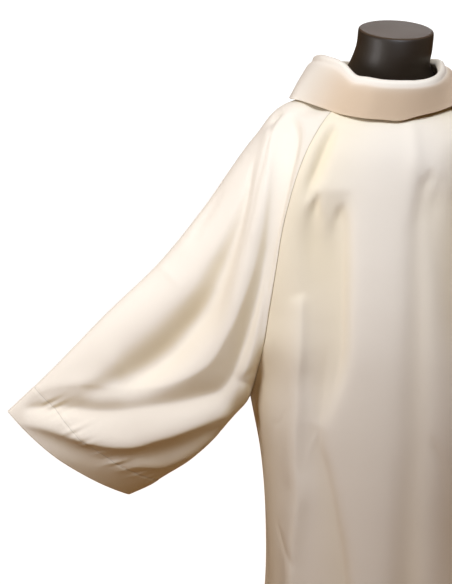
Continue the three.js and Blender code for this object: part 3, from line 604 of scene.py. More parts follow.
def hemFinish(hemAway):
    # A turned-up hem: a shallow groove at its stitches and two layers below them.
    groove = cloth["hemGroove"] * np.clip(1 - np.abs(hemAway) / cloth["hemEdge"], 0, 1)
    return cloth["hemLayer"] * smoothStep(-hemAway, 0, cloth["hemEdge"]) - groove


def finishPiece(piece, node):
    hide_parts(node)
    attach(piece, "root")
    print(piece.name, len(piece.data.polygons), "faces")


def addSheet(mesh, node, material, thickness, flat, held, restsOn, area):
    mesh.materials.append(material)
    piece = addObject(mesh.name, mesh)
    wall = piece.modifiers.new("wall", "SOLIDIFY")
    wall.thickness = thickness * mm
    wall.offset = -1
    finishPiece(piece, node)


kink = {"passes": 80, "levelReach": 70, "sideReach": 22}


def softenKink(grid, sideAway):
    # The side edge turns sharply at the armpit, and the rest of the panel runs smoothly past it.
    soft = grid.copy()
    for turn in range(kink["passes"]):
        soft[1:-1] = (soft[:-2] + 2 * soft[1:-1] + soft[2:]) / 4
    armpitLevel = frontPanel["rows"][armpitRow][0]
    near = np.exp(-(((grid[..., 2] - armpitLevel) / kink["levelReach"]) ** 2))
    share = near * (1 - np.exp(-((sideAway / kink["sideReach"]) ** 2)))
    return grid + (soft - grid) * share[..., None]


def stitchLine(grid, normals, hemAway):
    row = int(np.abs(hemAway[:, 0]).argmin())
    return grid[row] + normals[row] * cloth["stitchLift"]


def makePanel(panel):
    grid, sideAway, down, hemAway, over, uv = panelGrid(panel)
    facing = panel["facing"]
    grid = softenKink(grid, sideAway)
    grid = sinkValley(grid, sideAway, grid[:, :1, 2], facing, valley["overPanel"])
    normals = gridNormals(grid, False, facing)

    def placeOf(across, row):
        return panelPoints(panel, across, row)

    calm = smoothStep(np.minimum(sideAway, down), 0, cloth["calm"])
    sunk = sinkOf(grid, normals, panel, placeOf, calm)
    grid = grid - normals * sunk[..., None]
    grid = grid + normals * (hemFinish(hemAway) - seamDip(down))[..., None]
    grid = sinkInwards(grid, seamDip(sideAway), facing)
    lines = [(sideAway, down), (down, over), (hemAway, over)]
    # Light that has passed from cloth to cloth makes it creamier in a fold and at the side.
    look = clothLook
    paintedShade = look["foldShade"] * np.clip(sunk / look["shadeDepth"], 0, 1)
    paintedShade = paintedShade + look["sideShade"] * np.exp(-((sideAway / look["sideReach"]) ** 2))
    pucker = np.full_like(over, cloth["panelPucker"])
    mesh = clothMesh(panel["name"], grid, False, facing, uv, lines, pucker, paintedShade)
    addSheet(mesh, panel["node"], ivory, cloth["thickness"], *panel["cut"])
    return stitchLine(grid, normals, hemAway)


frontHemLine = makePanel(frontPanel)
backHemLine = makePanel(backPanel)


sleeve = {
    # top point, low point, swell in front and behind, fullness low and high, bow outwards,
    # and how far the low edge swings back below which height
    "rows": [
        [-176, 2, 1441, -240, -4, 952, 94, 104, 2.2, 2.0, 12, 0, 0.15],
        [-222, 4, 1392, -258, -2, 932, 84, 88, 2.4, 2.0, 8, 0, 0.15],
        [-306, 10, 1275, -294, 2, 888, 64, 64, 2.3, 2.0, 0, 0, 0.15],
        [-378, 15, 1186, -331, 6, 849.5, 54, 50, 2.0, 2.0, 2, 5, 0.16],
        [-469, 25, 1097, -373, 11, 817.5, 42, 36, 1.8, 2.0, 6, 14, 0.22],
        [-560, 33, 1003, -398, 15, 798.5, 28, 22, 1.8, 2.0, 10, 20, 0.32],
        [-632, 40, 934, -432, 20, 780, 17, 11, 1.8, 2.0, 14, 26, 0.8],
    ],
    "hemDepth": 62,
    "columns": 220,
    "armholeRound": 1107,
    "cuffRound": 506,
    "puckerDepth": 1.7,
    "puckerWave": 6.5,
    "puckerReach": (19, 11),
    "puckerPlaces": [(0.41, 0.07), (0.2, 0.12), (0.8, 0.1)],
    "puckerFall": 1.5,
    "puckerLeast": 0.3,
    "seamPucker": 0.4,  # puckers in the bump, and how much more at the cuff
    "cuffPucker": 0.5,
    "puckerSlant": 0.25,
    "puckerSeed": 11,
    "hemRows": (2.5, 0, -2.5),
    "edgeRows": (4, 1.5, 0),
    "swingFall": 1.3,
    "cut": [(1.1, 0.66), "hung", ["form_torso"], 0.36],
    "shadeFacing": (-0.5, -0.15, -0.85),  # painted shade: cloth that faces this way, down and in to the body, is painted creamier
    "shadeFull": 0.7,
    # Each row of a fold: along the sleeve, 0 to 1, round it from the underarm by the front,
    # 0 to 1, how deep it sinks, and its width to the left and to the right of its run.
    "folds": {
        "shoulderNick": [
            [0.09, 0.496, 0, 4, 6], [0.097, 0.491, 8, 6, 9], [0.108, 0.487, 9, 6, 9],
            [0.107, 0.475, 5, 5, 7], [0.105, 0.466, 0, 4, 5],
        ],
        "shoulderCrease": [
            [0.082, 0.481, 0, 6, 7], [0.07, 0.468, 6, 8, 12], [0.056, 0.45, 8, 9, 16],
            [0.047, 0.429, 8, 9, 19], [0.042, 0.404, 8, 9, 22], [0.04, 0.375, 7, 9, 22],
            [0.039, 0.345, 6, 10, 22], [0.04, 0.306, 4, 10, 20], [0.045, 0.27, 0, 10, 18],
        ],
        "thinCrease": [
            [0.105, 0.471, 0, 3, 4], [0.118, 0.454, 1.6, 3, 4], [0.13, 0.43, 1.6, 4, 5],
            [0.15, 0.405, 1.4, 4, 5], [0.162, 0.37, 1.2, 4, 6], [0.19, 0.33, 0, 4, 6],
        ],
        "armRidge": [
            [0.095, 0.482, 0, 6, 12], [0.1, 0.465, -7, 10, 20], [0.106, 0.43, -11, 14, 26],
            [0.103, 0.39, -13, 16, 28], [0.103, 0.359, -13, 16, 30], [0.108, 0.318, -11, 15, 30],
            [0.12, 0.288, -8, 12, 30], [0.138, 0.258, -9, 13, 32], [0.173, 0.23, -10, 13, 34],
            [0.216, 0.21, -9, 13, 34], [0.291, 0.2, -8, 14, 34], [0.356, 0.194, -7, 14, 34],
            [0.424, 0.202, -6, 14, 32], [0.501, 0.218, -5, 14, 30], [0.576, 0.238, -4, 14, 28],
            [0.64, 0.263, -3.5, 13, 26], [0.694, 0.29, -3, 12, 24], [0.737, 0.324, -3, 12, 22],
            [0.797, 0.39, -3, 10, 18], [0.86, 0.445, -2, 9, 14], [0.93, 0.48, 0, 8, 10],
        ],
        "lowerTrough": [
            [0.095, 0.41, 0, 14, 8], [0.09, 0.37, 4, 22, 9], [0.09, 0.32, 8, 24, 12],
            [0.093, 0.27, 11, 24, 16], [0.105, 0.222, 13, 22, 20], [0.122, 0.182, 14, 22, 19],
            [0.145, 0.15, 14, 22, 18], [0.175, 0.13, 13, 22, 19], [0.215, 0.115, 12, 20, 21],
            [0.27, 0.107, 11, 18, 22], [0.338, 0.113, 10, 18, 24], [0.434, 0.14, 10, 20, 26],
            [0.549, 0.178, 10, 20, 25], [0.647, 0.214, 10, 20, 24], [0.737, 0.254, 10, 19, 23],
            [0.805, 0.3, 10, 18, 22], [0.86, 0.357, 10, 16, 20], [0.905, 0.405, 9, 13, 17],
            [0.942, 0.445, 6, 10, 11], [0.97, 0.472, 0, 8, 8],
        ],
        "innerRidge": [
            [0.045, 0.21, 0, 12, 10], [0.065, 0.17, -4, 14, 11], [0.08, 0.14, -7, 15, 12],
            [0.1, 0.112, -8, 15, 12], [0.128, 0.09, -6, 14, 11], [0.16, 0.078, 0, 12, 10],
        ],
        "armpitFold": [
            [0.02, 0.062, 1, 8, 6], [0.075, 0.071, 1.5, 8, 6], [0.13, 0.078, 1, 7, 6],
            [0.193, 0.092, 0, 6, 6],
        ],
        "underarmFold": [
            [0.015, 0.02, 0.5, 8, 6], [0.043, 0.034, 1, 8, 6], [0.1, 0.055, 1.2, 8, 6],
            [0.155, 0.072, 1, 7, 6], [0.238, 0.111, 0, 6, 5],
        ],
        "upperTrough": [
            [0.17, 0.465, 0, 8, 5], [0.185, 0.442, 3, 10, 6], [0.2, 0.413, 6, 13, 8],
            [0.233, 0.383, 10, 16, 12], [0.271, 0.364, 14, 20, 15], [0.308, 0.348, 18, 24, 19],
            [0.353, 0.322, 22, 26, 25], [0.411, 0.307, 27, 28, 31], [0.474, 0.302, 29, 29, 35],
            [0.531, 0.297, 30, 29, 37], [0.586, 0.297, 29, 28, 38], [0.644, 0.302, 26, 27, 36],
            [0.692, 0.313, 20, 25, 31], [0.732, 0.333, 13, 21, 23], [0.775, 0.355, 7, 17, 17],
            [0.82, 0.385, 0, 14, 12],
        ],
        "upperDent": [
            [0.28, 0.488, 0, 10, 8], [0.33, 0.484, 2.5, 12, 9], [0.383, 0.478, 2.5, 13, 10],
            [0.42, 0.46, 0, 14, 11],
        ],
        "elbowLine": [
            [0.525, 0.496, 0, 4], [0.515, 0.485, -1.4, 4], [0.49, 0.447, -1.4, 5],
            [0.461, 0.401, 0, 5],
        ],
        "lowRidge": [
            [0.2, 0.024, 0, 8, 14], [0.273, 0.045, -5, 12, 20], [0.391, 0.073, -8, 15, 26],
            [0.486, 0.096, -11, 16, 28], [0.576, 0.114, -12, 16, 30], [0.652, 0.13, -12, 16, 30],
            [0.727, 0.146, -12, 16, 30], [0.79, 0.172, -12, 16, 30], [0.85, 0.214, -12, 16, 28],
            [0.89, 0.262, -11, 15, 26], [0.94, 0.345, -8, 13, 22], [0.98, 0.408, -4, 10, 16],
            [1, 0.44, 0, 9, 12],
        ],
        "underside": [
            [0.28, 0.02, 0, 12, 10], [0.42, 0.05, 1.5, 15, 14], [0.52, 0.068, 2, 17, 16],
            [0.62, 0.086, 2.5, 20, 17], [0.72, 0.108, 2.5, 22, 18], [0.81, 0.134, 2.5, 24, 19],
            [0.88, 0.19, 2.5, 26, 19], [0.935, 0.265, 2, 24, 18], [0.975, 0.35, 1.5, 18, 14],
            [1, 0.42, 0.5, 14, 12],
        ],
        "underRidge": [
            [0.3, 0.008, 0, 8, 12], [0.361, 0.016, -2, 9, 14], [0.451, 0.02, -3, 10, 16],
            [0.559, 0.029, -3.5, 10, 17], [0.657, 0.039, -3.5, 11, 18],
            [0.757, 0.072, -3.5, 11, 18], [0.817, 0.1, -3, 12, 18], [0.9, 0.14, 0, 12, 16],
        ],
        "backUpper": [
            [0.14, 0.54, 0, 12], [0.21, 0.585, 6, 15], [0.32, 0.615, 14, 20], [0.45, 0.63, 19, 24],
            [0.57, 0.637, 18, 26], [0.69, 0.63, 9, 24], [0.77, 0.62, 0, 22],
        ],
        "backBand": [
            [0.28, 0.69, 0, 20], [0.45, 0.705, -8, 26], [0.61, 0.705, -7, 24], [0.73, 0.68, 0, 22],
        ],
        "backLower": [
            [0.11, 0.63, 0, 12], [0.14, 0.72, 8, 15], [0.25, 0.785, 14, 19], [0.4, 0.805, 17, 22],
            [0.55, 0.79, 15, 22], [0.69, 0.745, 11, 20], [0.81, 0.67, 6, 18], [0.9, 0.59, 0, 14],
        ],
        "backRidge": [
            [0.16, 0.935, 0, 20], [0.34, 0.915, -10, 24], [0.54, 0.88, -13, 26],
            [0.75, 0.81, -9, 24], [0.92, 0.7, 0, 20],
        ],
        "backUnder": [
            [0.28, 0.985, 0, 16], [0.5, 0.96, 8, 18], [0.75, 0.92, 9, 20], [0.92, 0.85, 7, 22],
            [1, 0.8, 5, 22],
        ],
    },
    "falls": {
        "armRidge": (1.25, 2), "lowerTrough": (1.5, 1.7), "lowRidge": (1.25, 2), "underRidge": (1.4, 2),
        "shoulderNick": (1.3, 1.4), "shoulderCrease": (1.7, 1.3), "thinCrease": (1.3, 1.5),
        "innerRidge": (1.3, 1.5), "armpitFold": (1.6, 1.3), "underarmFold": (1.6, 1.3),
        "elbowLine": (1.3, 1.6),
    },
}


def armholeHalves(side):
    # The sleeve's seam line: up the front panel's edge to the crown, and on down the back's.
    rows = np.linspace(0, armpitRow, seamSteps)
    up = panelPoints(frontPanel, side, rows)[::-1]
    down = panelPoints(backPanel, side, rows)
    crown = np.array([collarFromNeck * side, *neckSide], float)
    q = np.linspace(0, 1, crownSteps * 2 + 1)[:, None]
    arc = up[-1] * (1 - q) * (1 - 2 * q) + crown * 4 * q * (1 - q) + down[0] * q * (2 * q - 1)
    return np.concatenate([up, arc[1 : crownSteps + 1]]), np.concatenate([arc[crownSteps:-1], down])


def halvesAt(halves, turns):
    front = alongLine(halves[0], turns * 2)
    back = alongLine(halves[1], turns * 2 - 1)
    return np.where((turns <= 0.5)[:, None], front, back)


def sliceAt(row, turns, side):
    row = np.array(row, float)
    top, low = row[:3], row[3:6]
    swellFront, swellBack, lowFull, topFull, bow, tuck, hinge = row[6:]
    outward = np.cross(top - low, [0, 1, 0])
    outward *= -np.sign(outward[0]) / np.linalg.norm(outward)
    up = (1 - np.cos(np.pi * np.linspace(0, 1, seamSteps + 1))) / 2
    full = np.where(up < 0.5, lowFull, topFull)
    swell = (1 - np.abs(2 * up - 1) ** full) ** (1 / full)
    line = low + (top - low) * up[:, None] + outward * (bow * np.sin(np.pi * up))[:, None]
    swing = tuck * np.clip(1 - up / hinge, 0, 1) ** sleeve["swingFall"]
    line[:, 1] += swing
    bulge = swell[:, None] * [0, 1, 0]
    halves = (line - bulge * swellFront, (line + bulge * swellBack)[::-1])
    return halvesAt(halves, turns) * [-side, 1, 1]


def sleeveRings(side, turns):
    slices = [sliceAt(row, turns, side) for row in sleeve["rows"]]
    return np.array([halvesAt(armholeHalves(side), turns), *slices])


def sleevePlaces(side):
    # The knots along the sleeve, the same for every turn.
    rings = sleeveRings(side, np.linspace(0, 1, seamSteps, endpoint=False))
    gaps = [np.linalg.norm(b - a, axis=1).mean() for a, b in zip(rings[:-1], rings[1:])]
    knots = np.concatenate([[0], np.cumsum(gaps)])
    return knots / knots[-1]


def sleevePoints(side, along, turns, knots):
    # along and turns are grids of one shape, and each column has one turn.
    return smoothAt(sleeveRings(side, turns[0]), along, knots)


def cuffPuckers(turns):
    # How strongly the cuff puckers at its stitches, most at two places in front and one behind.
    bumps = [np.exp(-(((turns - v) / w) ** 2)) for v, w in sleeve["puckerPlaces"]]
    return np.clip(sleeve["puckerLeast"] + (1 - sleeve["puckerLeast"]) * sum(bumps), 0, 1)


def rowsAlong(finePlaces, fine, ends, step):
    # Mesh rows along each line of a tube, close together at its seam and at its end: their
    # distances and their places.
    reach = lengths(fine)
    marks = [np.full_like(reach[-1], m) for m in cloth["seamMarks"]]
    targets = spacedBetween([*marks, *[reach[-1] - end for end in ends]], step)
    places = [np.interp(t, r, finePlaces) for t, r in zip(targets.T, reach.T)]
    return targets, np.stack(places, axis=1), reach[-1]


def closedUv(grid, targets):
    girth = lengths(np.concatenate([grid, grid[:, :1]], axis=1), axis=1)
    return np.stack([girth, np.broadcast_to(-targets[:, :1], girth.shape)], -1)


def makeSleeve(name, node, side):
    knots = sleevePlaces(side)
    turns = np.linspace(0, 1, sleeve["columns"], endpoint=False)
    fineAlong = np.linspace(0, 1, cloth["fineSteps"] + 1)
    fine = sleevePoints(
        side, np.tile(fineAlong[:, None], len(turns)), np.tile(turns, (len(fineAlong), 1)), knots
    )
    hem = sleeve["hemDepth"]
    ends = [*[hem + row for row in sleeve["hemRows"]], *sleeve["edgeRows"]]
    targets, along, whole = rowsAlong(fineAlong, fine, ends, cloth["gridStep"])
    turnGrid = np.tile(turns, (len(targets), 1))
    grid = sleevePoints(side, along, turnGrid, knots)
    facing = np.where(turns <= 0.5, -1, 1)
    grid = sinkValley(grid, targets, grid[:1, :, 2], facing, valley["overSleeve"])
    outward = -side
    normals = gridNormals(grid, True, outward)

    def placeOf(places, rounds):
        rounds = rounds if side < 0 else 1 - rounds
        pairs = [np.array([[[a]], [[b]]]) for a, b in zip(places, rounds)]
        return np.array([sleevePoints(side, *pair, knots)[0, 0] for pair in pairs])

    sunk = sinkOf(grid, normals, sleeve, placeOf, smoothStep(targets, 0, cloth["calm"]))
    grid = grid - normals * sunk[..., None]
    hemAway = whole - hem - targets
    cuffAlong = turnGrid * sleeve["cuffRound"]
    share = cuffPuckers(turnGrid if side < 0 else 1 - turnGrid)
    reach = np.where(hemAway > 0, *sleeve["puckerReach"])
    slanted = cuffAlong + hemAway * sleeve["puckerSlant"]
    waves = ripple(slanted, sleeve["puckerWave"], sleeve["puckerSeed"] + side)
    die = np.exp(-((np.abs(hemAway) / reach) ** sleeve["puckerFall"]))
    lift = hemFinish(hemAway) + sleeve["puckerDepth"] * share * waves * die
    grid = sinkInwards(grid + normals * lift[..., None], seamDip(targets), facing)
    lines = [(targets, turnGrid * sleeve["armholeRound"]), (hemAway, cuffAlong)]
    # Painted shade: the more the cloth faces down and in to the body, the creamier it is painted.
    shaded = gridNormals(grid, True, outward) @ (np.array(sleeve["shadeFacing"]) * [side, 1, 1])
    paintedShade = smoothStep(shaded, 0, sleeve["shadeFull"])
    uv = closedUv(grid, targets)
    pucker = sleeve["seamPucker"] + sleeve["cuffPucker"] * share
    mesh = clothMesh(name, grid, True, outward, uv, lines, pucker, paintedShade)
    addSheet(mesh, node, ivory, cloth["thickness"], *sleeve["cut"])
    return stitchLine(grid, normals, hemAway)


rightCuffLine = makeSleeve("sleeveRight", "sleeve_right", -1)
leftCuffLine = makeSleeve("sleeveLeft", "sleeve_left", 1)


collar = {
    # The direction from the neck's axis, in degrees from the front by the wearer's left, then
    # the crest there (x, y, level) and the lower edge. It stands wide of the neck on the
    # wearer's right and close to it on the left.
    "around": [
        [-180, -24, 102, 1504, -22, 134, 1437], [-150, -76, 88, 1506, -98, 115, 1441],
        [-120, -111, 50, 1511, -150, 66, 1448], [-90, -124.5, 4, 1516, -166.5, 4, 1448.5],
        [-65, -117, -42, 1515.5, -151, -24, 1445.5], [-47, -95, -77, 1504, -124, -66, 1436],
        [-37, -81, -96, 1487.5, -104, -89, 1429], [-28, -65, -106.5, 1484.5, -80, -103, 1424.5],
        [-10, -35, -117, 1480, -41, -112, 1421], [0, -13, -119, 1479.5, -15, -114, 1419.5],
        [10, 8, -118, 1479.5, 12, -113, 1426], [28, 38, -107, 1485, 47, -105, 1433.5],
        [45, 57, -78, 1495, 79, -90, 1443], [65, 66, -42, 1506, 108, -62, 1452],
        [90, 70, 4, 1510, 124, 0, 1456], [120, 58, 54, 1508, 104, 66, 1451],
        [150, 26, 88, 1505, 55, 115, 1443],
    ],
    # Up from the seam, over the crest and down: shares of the seam, crest and edge points,
    # then how much further out and up.
    "roll": [
        [1, 0, 0, 0, 0], [0.5, 0.5, 0, -1, 0], [0, 1, 0, -5, -9], [0, 1, 0, -3.4, -2.4],
        [0, 1, 0, 0, 0], [0, 1, 0, 3.8, -2.6], [0, 0.97, 0.03, 5, -7], [0, 0.8, 0.2, 5.5, -3],
        [0, 0.35, 0.65, 2.5, 0], [0, 0.1, 0.9, 0.5, 0], [0, 0, 1, 0, 0],
    ],
    "columns": 300,
    "step": 2.6,
    "cut": [(0.86, 0.13), "folded", ["form_torso"], None],
    "thickness": 1.6,
    "pucker": 0.4,
    "fineSteps": 180,
    "shadeTurns": (-72, -34),  # from which direction to which its front takes the painted shade
    "shadeRolls": (5.5, 7.5),  # and from which row of the roll to which
}


def neckRing(angles):
    # The neckline at these angles from the front, by the wearer's left.
    lines = []
    for panel in (frontPanel, backPanel):
        line = panelPoints(panel, np.linspace(-1, 1, seamSteps // 2 + 1), 0)
        lines.append((line, panel["rows"][0][1]))
    for side in (-1, 1):
        halves = armholeHalves(side)
        arc = np.concatenate([halves[0][-crownSteps:], halves[1][1:crownSteps]])
        for part in (arc[arc[:, 1] < 0], arc[arc[:, 1] >= 0]):
            lines.append((part, (frontPanel if part[0, 1] < 0 else backPanel)["rows"][0][1]))
    found = np.concatenate([
        np.c_[np.arctan2(line[:, 0] / collarFromNeck, -line[:, 1] / depth), line]
        for line, depth in lines
    ])
    found = found[np.argsort(found[:, 0])]
    turns, places = found[:, 0], found[:, 1:].T
    return np.stack([np.interp(angles, turns, place, period=2 * np.pi) for place in places], axis=-1)


def collarPoints(place, degrees):
    table = np.array(collar["around"], float)
    turn = np.array([360, 0, 0, 0, 0, 0, 0])
    table = np.concatenate([table[-3:] - turn, table, table[:3] + turn])
    both = smoothAt(table[:, 1:], degrees, table[:, 0])
    share = smoothAt(collar["roll"], place)
    angle = np.radians(degrees)
    outwards = np.stack([np.sin(angle), -np.cos(angle), np.zeros_like(angle)], axis=-1)
    return (
        neckRing(angle) * share[..., 0:1]
        + both[..., :3] * share[..., 1:2]
        + both[..., 3:] * share[..., 2:3]
        + outwards * share[..., 3:4]
        + share[..., 4:5] * [0, 0, 1]
    )


def makeCollar():
    degrees = np.linspace(-180, 180, collar["columns"], endpoint=False)
    finePlaces = np.linspace(0, len(collar["roll"]) - 1, collar["fineSteps"] + 1)
    fineDegrees = np.tile(degrees, (len(finePlaces), 1))
    fine = collarPoints(np.tile(finePlaces[:, None], len(degrees)), fineDegrees)
    targets, places, whole = rowsAlong(finePlaces, fine, cloth["edgeRows"], collar["step"])
    grid = collarPoints(places, np.tile(degrees, (len(targets), 1)))
    grid = grid - gridNormals(grid, True, 1) * seamDip(targets)[..., None]
    uv = closedUv(grid, targets)
    # The cloth is double here. Its fall at the front, out of the light, is given a painted shade, darker
    # and creamier.
    paintedShade = smoothStep(degrees, *collar["shadeTurns"]) * smoothStep(places, *collar["shadeRolls"])
    pucker = np.full_like(targets, collar["pucker"])
    mesh = clothMesh("collarFold", grid, True, 1, uv, [(targets, uv[:, :-1, 0])], pucker, paintedShade)
    addSheet(mesh, "collar", collarCloth, collar["thickness"], *collar["cut"])


makeCollar()


stitch = {
    "length": 2.5,
    "gap": 1.0,
    "radius": 0.24,
    "sides": 6,
    "rings": 5,
}


def stitchTree():
    # Puts a short rounded stitch at even steps along each line, turned along it.
    tree = bpy.data.node_groups.new("stitchRow", "GeometryNodeTree")
    face = tree.interface
    face.new_socket("Geometry", in_out="INPUT", socket_type="NodeSocketGeometry")
    for name in ("Step", "Length", "Radius"):
        face.new_socket(name, in_out="INPUT", socket_type="NodeSocketFloat")
    face.new_socket("Sides", in_out="INPUT", socket_type="NodeSocketInt")
    face.new_socket("Thread", in_out="INPUT", socket_type="NodeSocketMaterial")
    face.new_socket("Geometry", in_out="OUTPUT", socket_type="NodeSocketGeometry")
    given = tree.nodes.new("NodeGroupInput").outputs
    row = addNode(tree, "GeometryNodeMeshToCurve", {"Mesh": given["Geometry"]}).outputs["Curve"]
    steps = addNode(
        tree, "GeometryNodeCurveToPoints", {"Curve": row, "Length": given["Step"]}, mode="LENGTH"
    ).outputs
    bead = addNode(
        tree, "GeometryNodeMeshUVSphere",
        {"Segments": given["Sides"], "Rings": stitch["rings"], "Radius": given["Radius"]},
    ).outputs["Mesh"]
    stretch = addMath(tree, "DIVIDE", given["Length"], addMath(tree, "MULTIPLY", given["Radius"], 2))
    scale = addNode(tree, "ShaderNodeCombineXYZ", {"X": 1, "Y": 1, "Z": stretch}).outputs[0]
    bead = addNode(tree, "GeometryNodeTransform", {"Geometry": bead, "Scale": scale}).outputs[0]
    placed = addNode(
        tree, "GeometryNodeInstanceOnPoints",
        {"Points": steps["Points"], "Instance": bead, "Rotation": steps["Rotation"]},
    ).outputs["Instances"]
    real = addNode(tree, "GeometryNodeRealizeInstances", {"Geometry": placed}).outputs[0]
    smooth = addNode(tree, "GeometryNodeSetShadeSmooth", {"Geometry": real}).outputs[0]
    done = addNode(
        tree, "GeometryNodeSetMaterial", {"Geometry": smooth, "Material": given["Thread"]}
    ).outputs[0]
    tree.links.new(done, tree.nodes.new("NodeGroupOutput").inputs[0])
    return tree


stitchRow = stitchTree()


def makeStitches(name, lines):
    mesh = bpy.data.meshes.new(name + "Line")
    points = np.concatenate([line for line, closed in lines]) * mm
    edges = []
    start = 0
    for line, closed in lines:
        last = len(line) if closed else len(line) - 1
        edges += [(start + i, start + (i + 1) % len(line)) for i in range(last)]
        start += len(line)
    mesh.from_pydata(points.tolist(), edges, [])
    holder = addObject(name + "Line", mesh)
    sewn = holder.modifiers.new("stitches", "NODES")
    sewn.node_group = stitchRow
    sizes = {
        "Step": (stitch["length"] + stitch["gap"]) * mm,
        "Length": stitch["length"] * mm,
        "Radius": stitch["radius"] * mm,
        "Sides": stitch["sides"],
        "Thread": threadMaterial,
    }
    for item in stitchRow.interface.items_tree:
        if item.name in sizes:
            sewn[item.identifier] = sizes[item.name]
    seen = bpy.context.evaluated_depsgraph_get()
    made = bpy.data.meshes.new_from_object(holder.evaluated_get(seen))
    bpy.data.objects.remove(holder)
    made.name = name
    piece = addObject(name, made)
    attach(piece, "root")
    print(name, len(made.polygons), "faces")


makeStitches("cuffStitches", [(rightCuffLine, True), (leftCuffLine, True)])
makeStitches("hemStitches", [(frontHemLine, False), (backHemLine, False)])


form = {
    # level, how much higher the sides are, slope to the back, half width, front and back
    # depth, and where the ring's middle stands
    "rings": [
        [872, 0, 0, 128, 80, 76, 0, 0], [876, 0, 0, 146, 96, 92, 0, 0],
        [892, 0, 0, 158, 106, 103, 0, 0], [960, 0, 0, 165, 112, 112, 0, 0],
        [1070, 0, 0, 150, 100, 94, 0, 0], [1180, 0, 0, 166, 112, 101, 0, 0],
        [1280, 0, 0, 186, 120, 116, 0, 0], [1348, 6, 0, 190, 113, 116, 0, 0],
        [1388, 14, 0, 184, 100, 106, 0, 0], [1408, 19, 0, 170, 88, 95, 0, 0],
        [1422, 20, 0, 150, 74, 86, 0, 0], [1431, 20, 0, 122, 66, 79, 0, 0],
        [1440, 16, 0.04, 96, 66, 71, 0, 0], [1454, 10, 0.1, 88, 62, 70, 2, 0],
        [1478, 5, 0.16, 77, 61, 69, 4, -6], [1504, 1, 0.22, 64, 60, 64, -2, -7],
        [1530, 0, 0.27, 60.5, 60, 60, -7, -2], [1553.5, 0, 0.27, 60, 60, 60, -8, 0],
        [1557.5, 0, 0.27, 58, 58, 58, -8, 0],
    ],
    "rim": 2.2,  # how far in the flat top's own edge lies
    "around": 96,
    "between": 6,
    "rimRise": 0.5,
    "topLevel": 1535,  # the flat top lies above this level
    "poleRadius": 16,
    "baseRadius": 190,
    "baseThickness": 12,
    "gap": 0.3,  # between the form, the pole and the base
    "edgeRound": 0.5,
    # two tones, roughness and coat
    "paint": [(0.019, 0.0125, 0.007, 1), (0.0145, 0.0095, 0.0055, 1), 0.5, 0.04],
    # the flat top: a matte finish, its tones painted lighter for the light it reflects
    "topPaintAndReflection": [(0.088, 0.058, 0.038, 1), (0.074, 0.048, 0.031, 1), 0.55, 0],
    "standPaint": [(0.022, 0.02, 0.019, 1), (0.03, 0.028, 0.026, 1), 0.38, 0.1],
}


glossLook = {
    "cloudScale": 9,
    "peelScale": 260,
    "peelHeight": 0.12,
    "coatRoughness": 0.12,
    "rougher": 0.07,  # where the gloss is dullest
    "smoother": 0.05,
}


def makeGloss(name, colour, darker, rough, coat):
    # Painted shell: slightly uneven gloss, fine orange peel, and a little dust.
    material, tree, shader = nodeMaterial(name)
    place = objectPlace(tree)
    look = glossLook
    cloud = addNoise(tree, place, look["cloudScale"], 5)
    peel = addNoise(tree, place, look["peelScale"], 2)
    fillSockets(tree, shader, {
        "Base Color": addMix(tree, cloud, colour, darker),
        "Roughness": addRange(tree, cloud, rough - look["smoother"], rough + look["rougher"]),
        "Normal": addBump(tree, peel, look["peelHeight"]),
        "Coat Weight": coat,
        "Coat Roughness": look["coatRoughness"],
    })
    return material


formPaint = makeGloss("formPaint", *form["paint"])
neckTopAndReflection = makeGloss("neckTopAndReflection", *form["topPaintAndReflection"])
standPaint = makeGloss("standPaint", *form["standPaint"])


def ringMesh(name, rings, *materials):
    # A closed body from rings of points, low to high, with a fan at each end. A second
    # material is for the flat top: its own matte finish, painted lighter for the light it reflects.
    count = rings.shape[1]
    points = np.concatenate([rings.reshape(-1, 3), [rings[0].mean(0)], [rings[-1].mean(0)]])
    low, top = len(points) - 2, len(points) - 1
    last = (len(rings) - 1) * count
    faces = []
    for j in range(count):
        k = (j + 1) % count
        faces += [(i * count + j, i * count + k, (i + 1) * count + k, (i + 1) * count + j)
                  for i in range(len(rings) - 1)]
        faces += [(low, k, j), (top, last + j, last + k)]
    mesh = bpy.data.meshes.new(name)
    mesh.from_pydata((points * mm).tolist(), [], faces)
    for material in materials:
        mesh.materials.append(material)
    for polygon in mesh.polygons:
        onTop = polygon.center.z > form["topLevel"] * mm and polygon.normal.z > 0.8
        polygon.material_index = int(onTop)
        polygon.use_smooth = len(polygon.vertices) > 3
    mesh.update()
    return addObject(name, mesh)


def makeForm():
    table = np.array(form["rings"], float)
    places = np.linspace(0, len(table) - 1, (len(table) - 1) * form["between"] + 1)
    rows = smoothAt(table, places)
    brim = rows[-1:].copy()
    brim[:, 0] += form["rimRise"]
    brim[:, 3:6] -= form["rim"]
    rows = np.concatenate([rows, brim])[:, :, None]
    angle = np.linspace(0, 2 * np.pi, form["around"], endpoint=False)
    y = -np.where(np.cos(angle) > 0, rows[:, 4], rows[:, 5]) * np.cos(angle)
    rings = np.stack([
        rows[:, 7] + rows[:, 3] * np.sin(angle),
        rows[:, 6] + y,
        rows[:, 0] + rows[:, 1] * np.sin(angle) ** 2 + rows[:, 2] * y,
    ], axis=-1)
    finishPiece(ringMesh("formBody", rings, formPaint, neckTopAndReflection), "form_torso")


def makeTurned(name, node, profile):
    # profile: radius and level, low to high.
    radius, level = np.array(profile, float).T[:, :, None]
    angle = np.linspace(0, 2 * np.pi, form["around"], endpoint=False)
    rings = np.stack([radius * np.sin(angle), -radius * np.cos(angle), level + 0 * angle], axis=-1)
    piece = ringMesh(name, rings, standPaint)
    edges = piece.modifiers.new("edges", "BEVEL")
    edges.width = form["edgeRound"] * mm
    edges.segments = 2
    edges.limit_method = "ANGLE"
    finishPiece(piece, node)


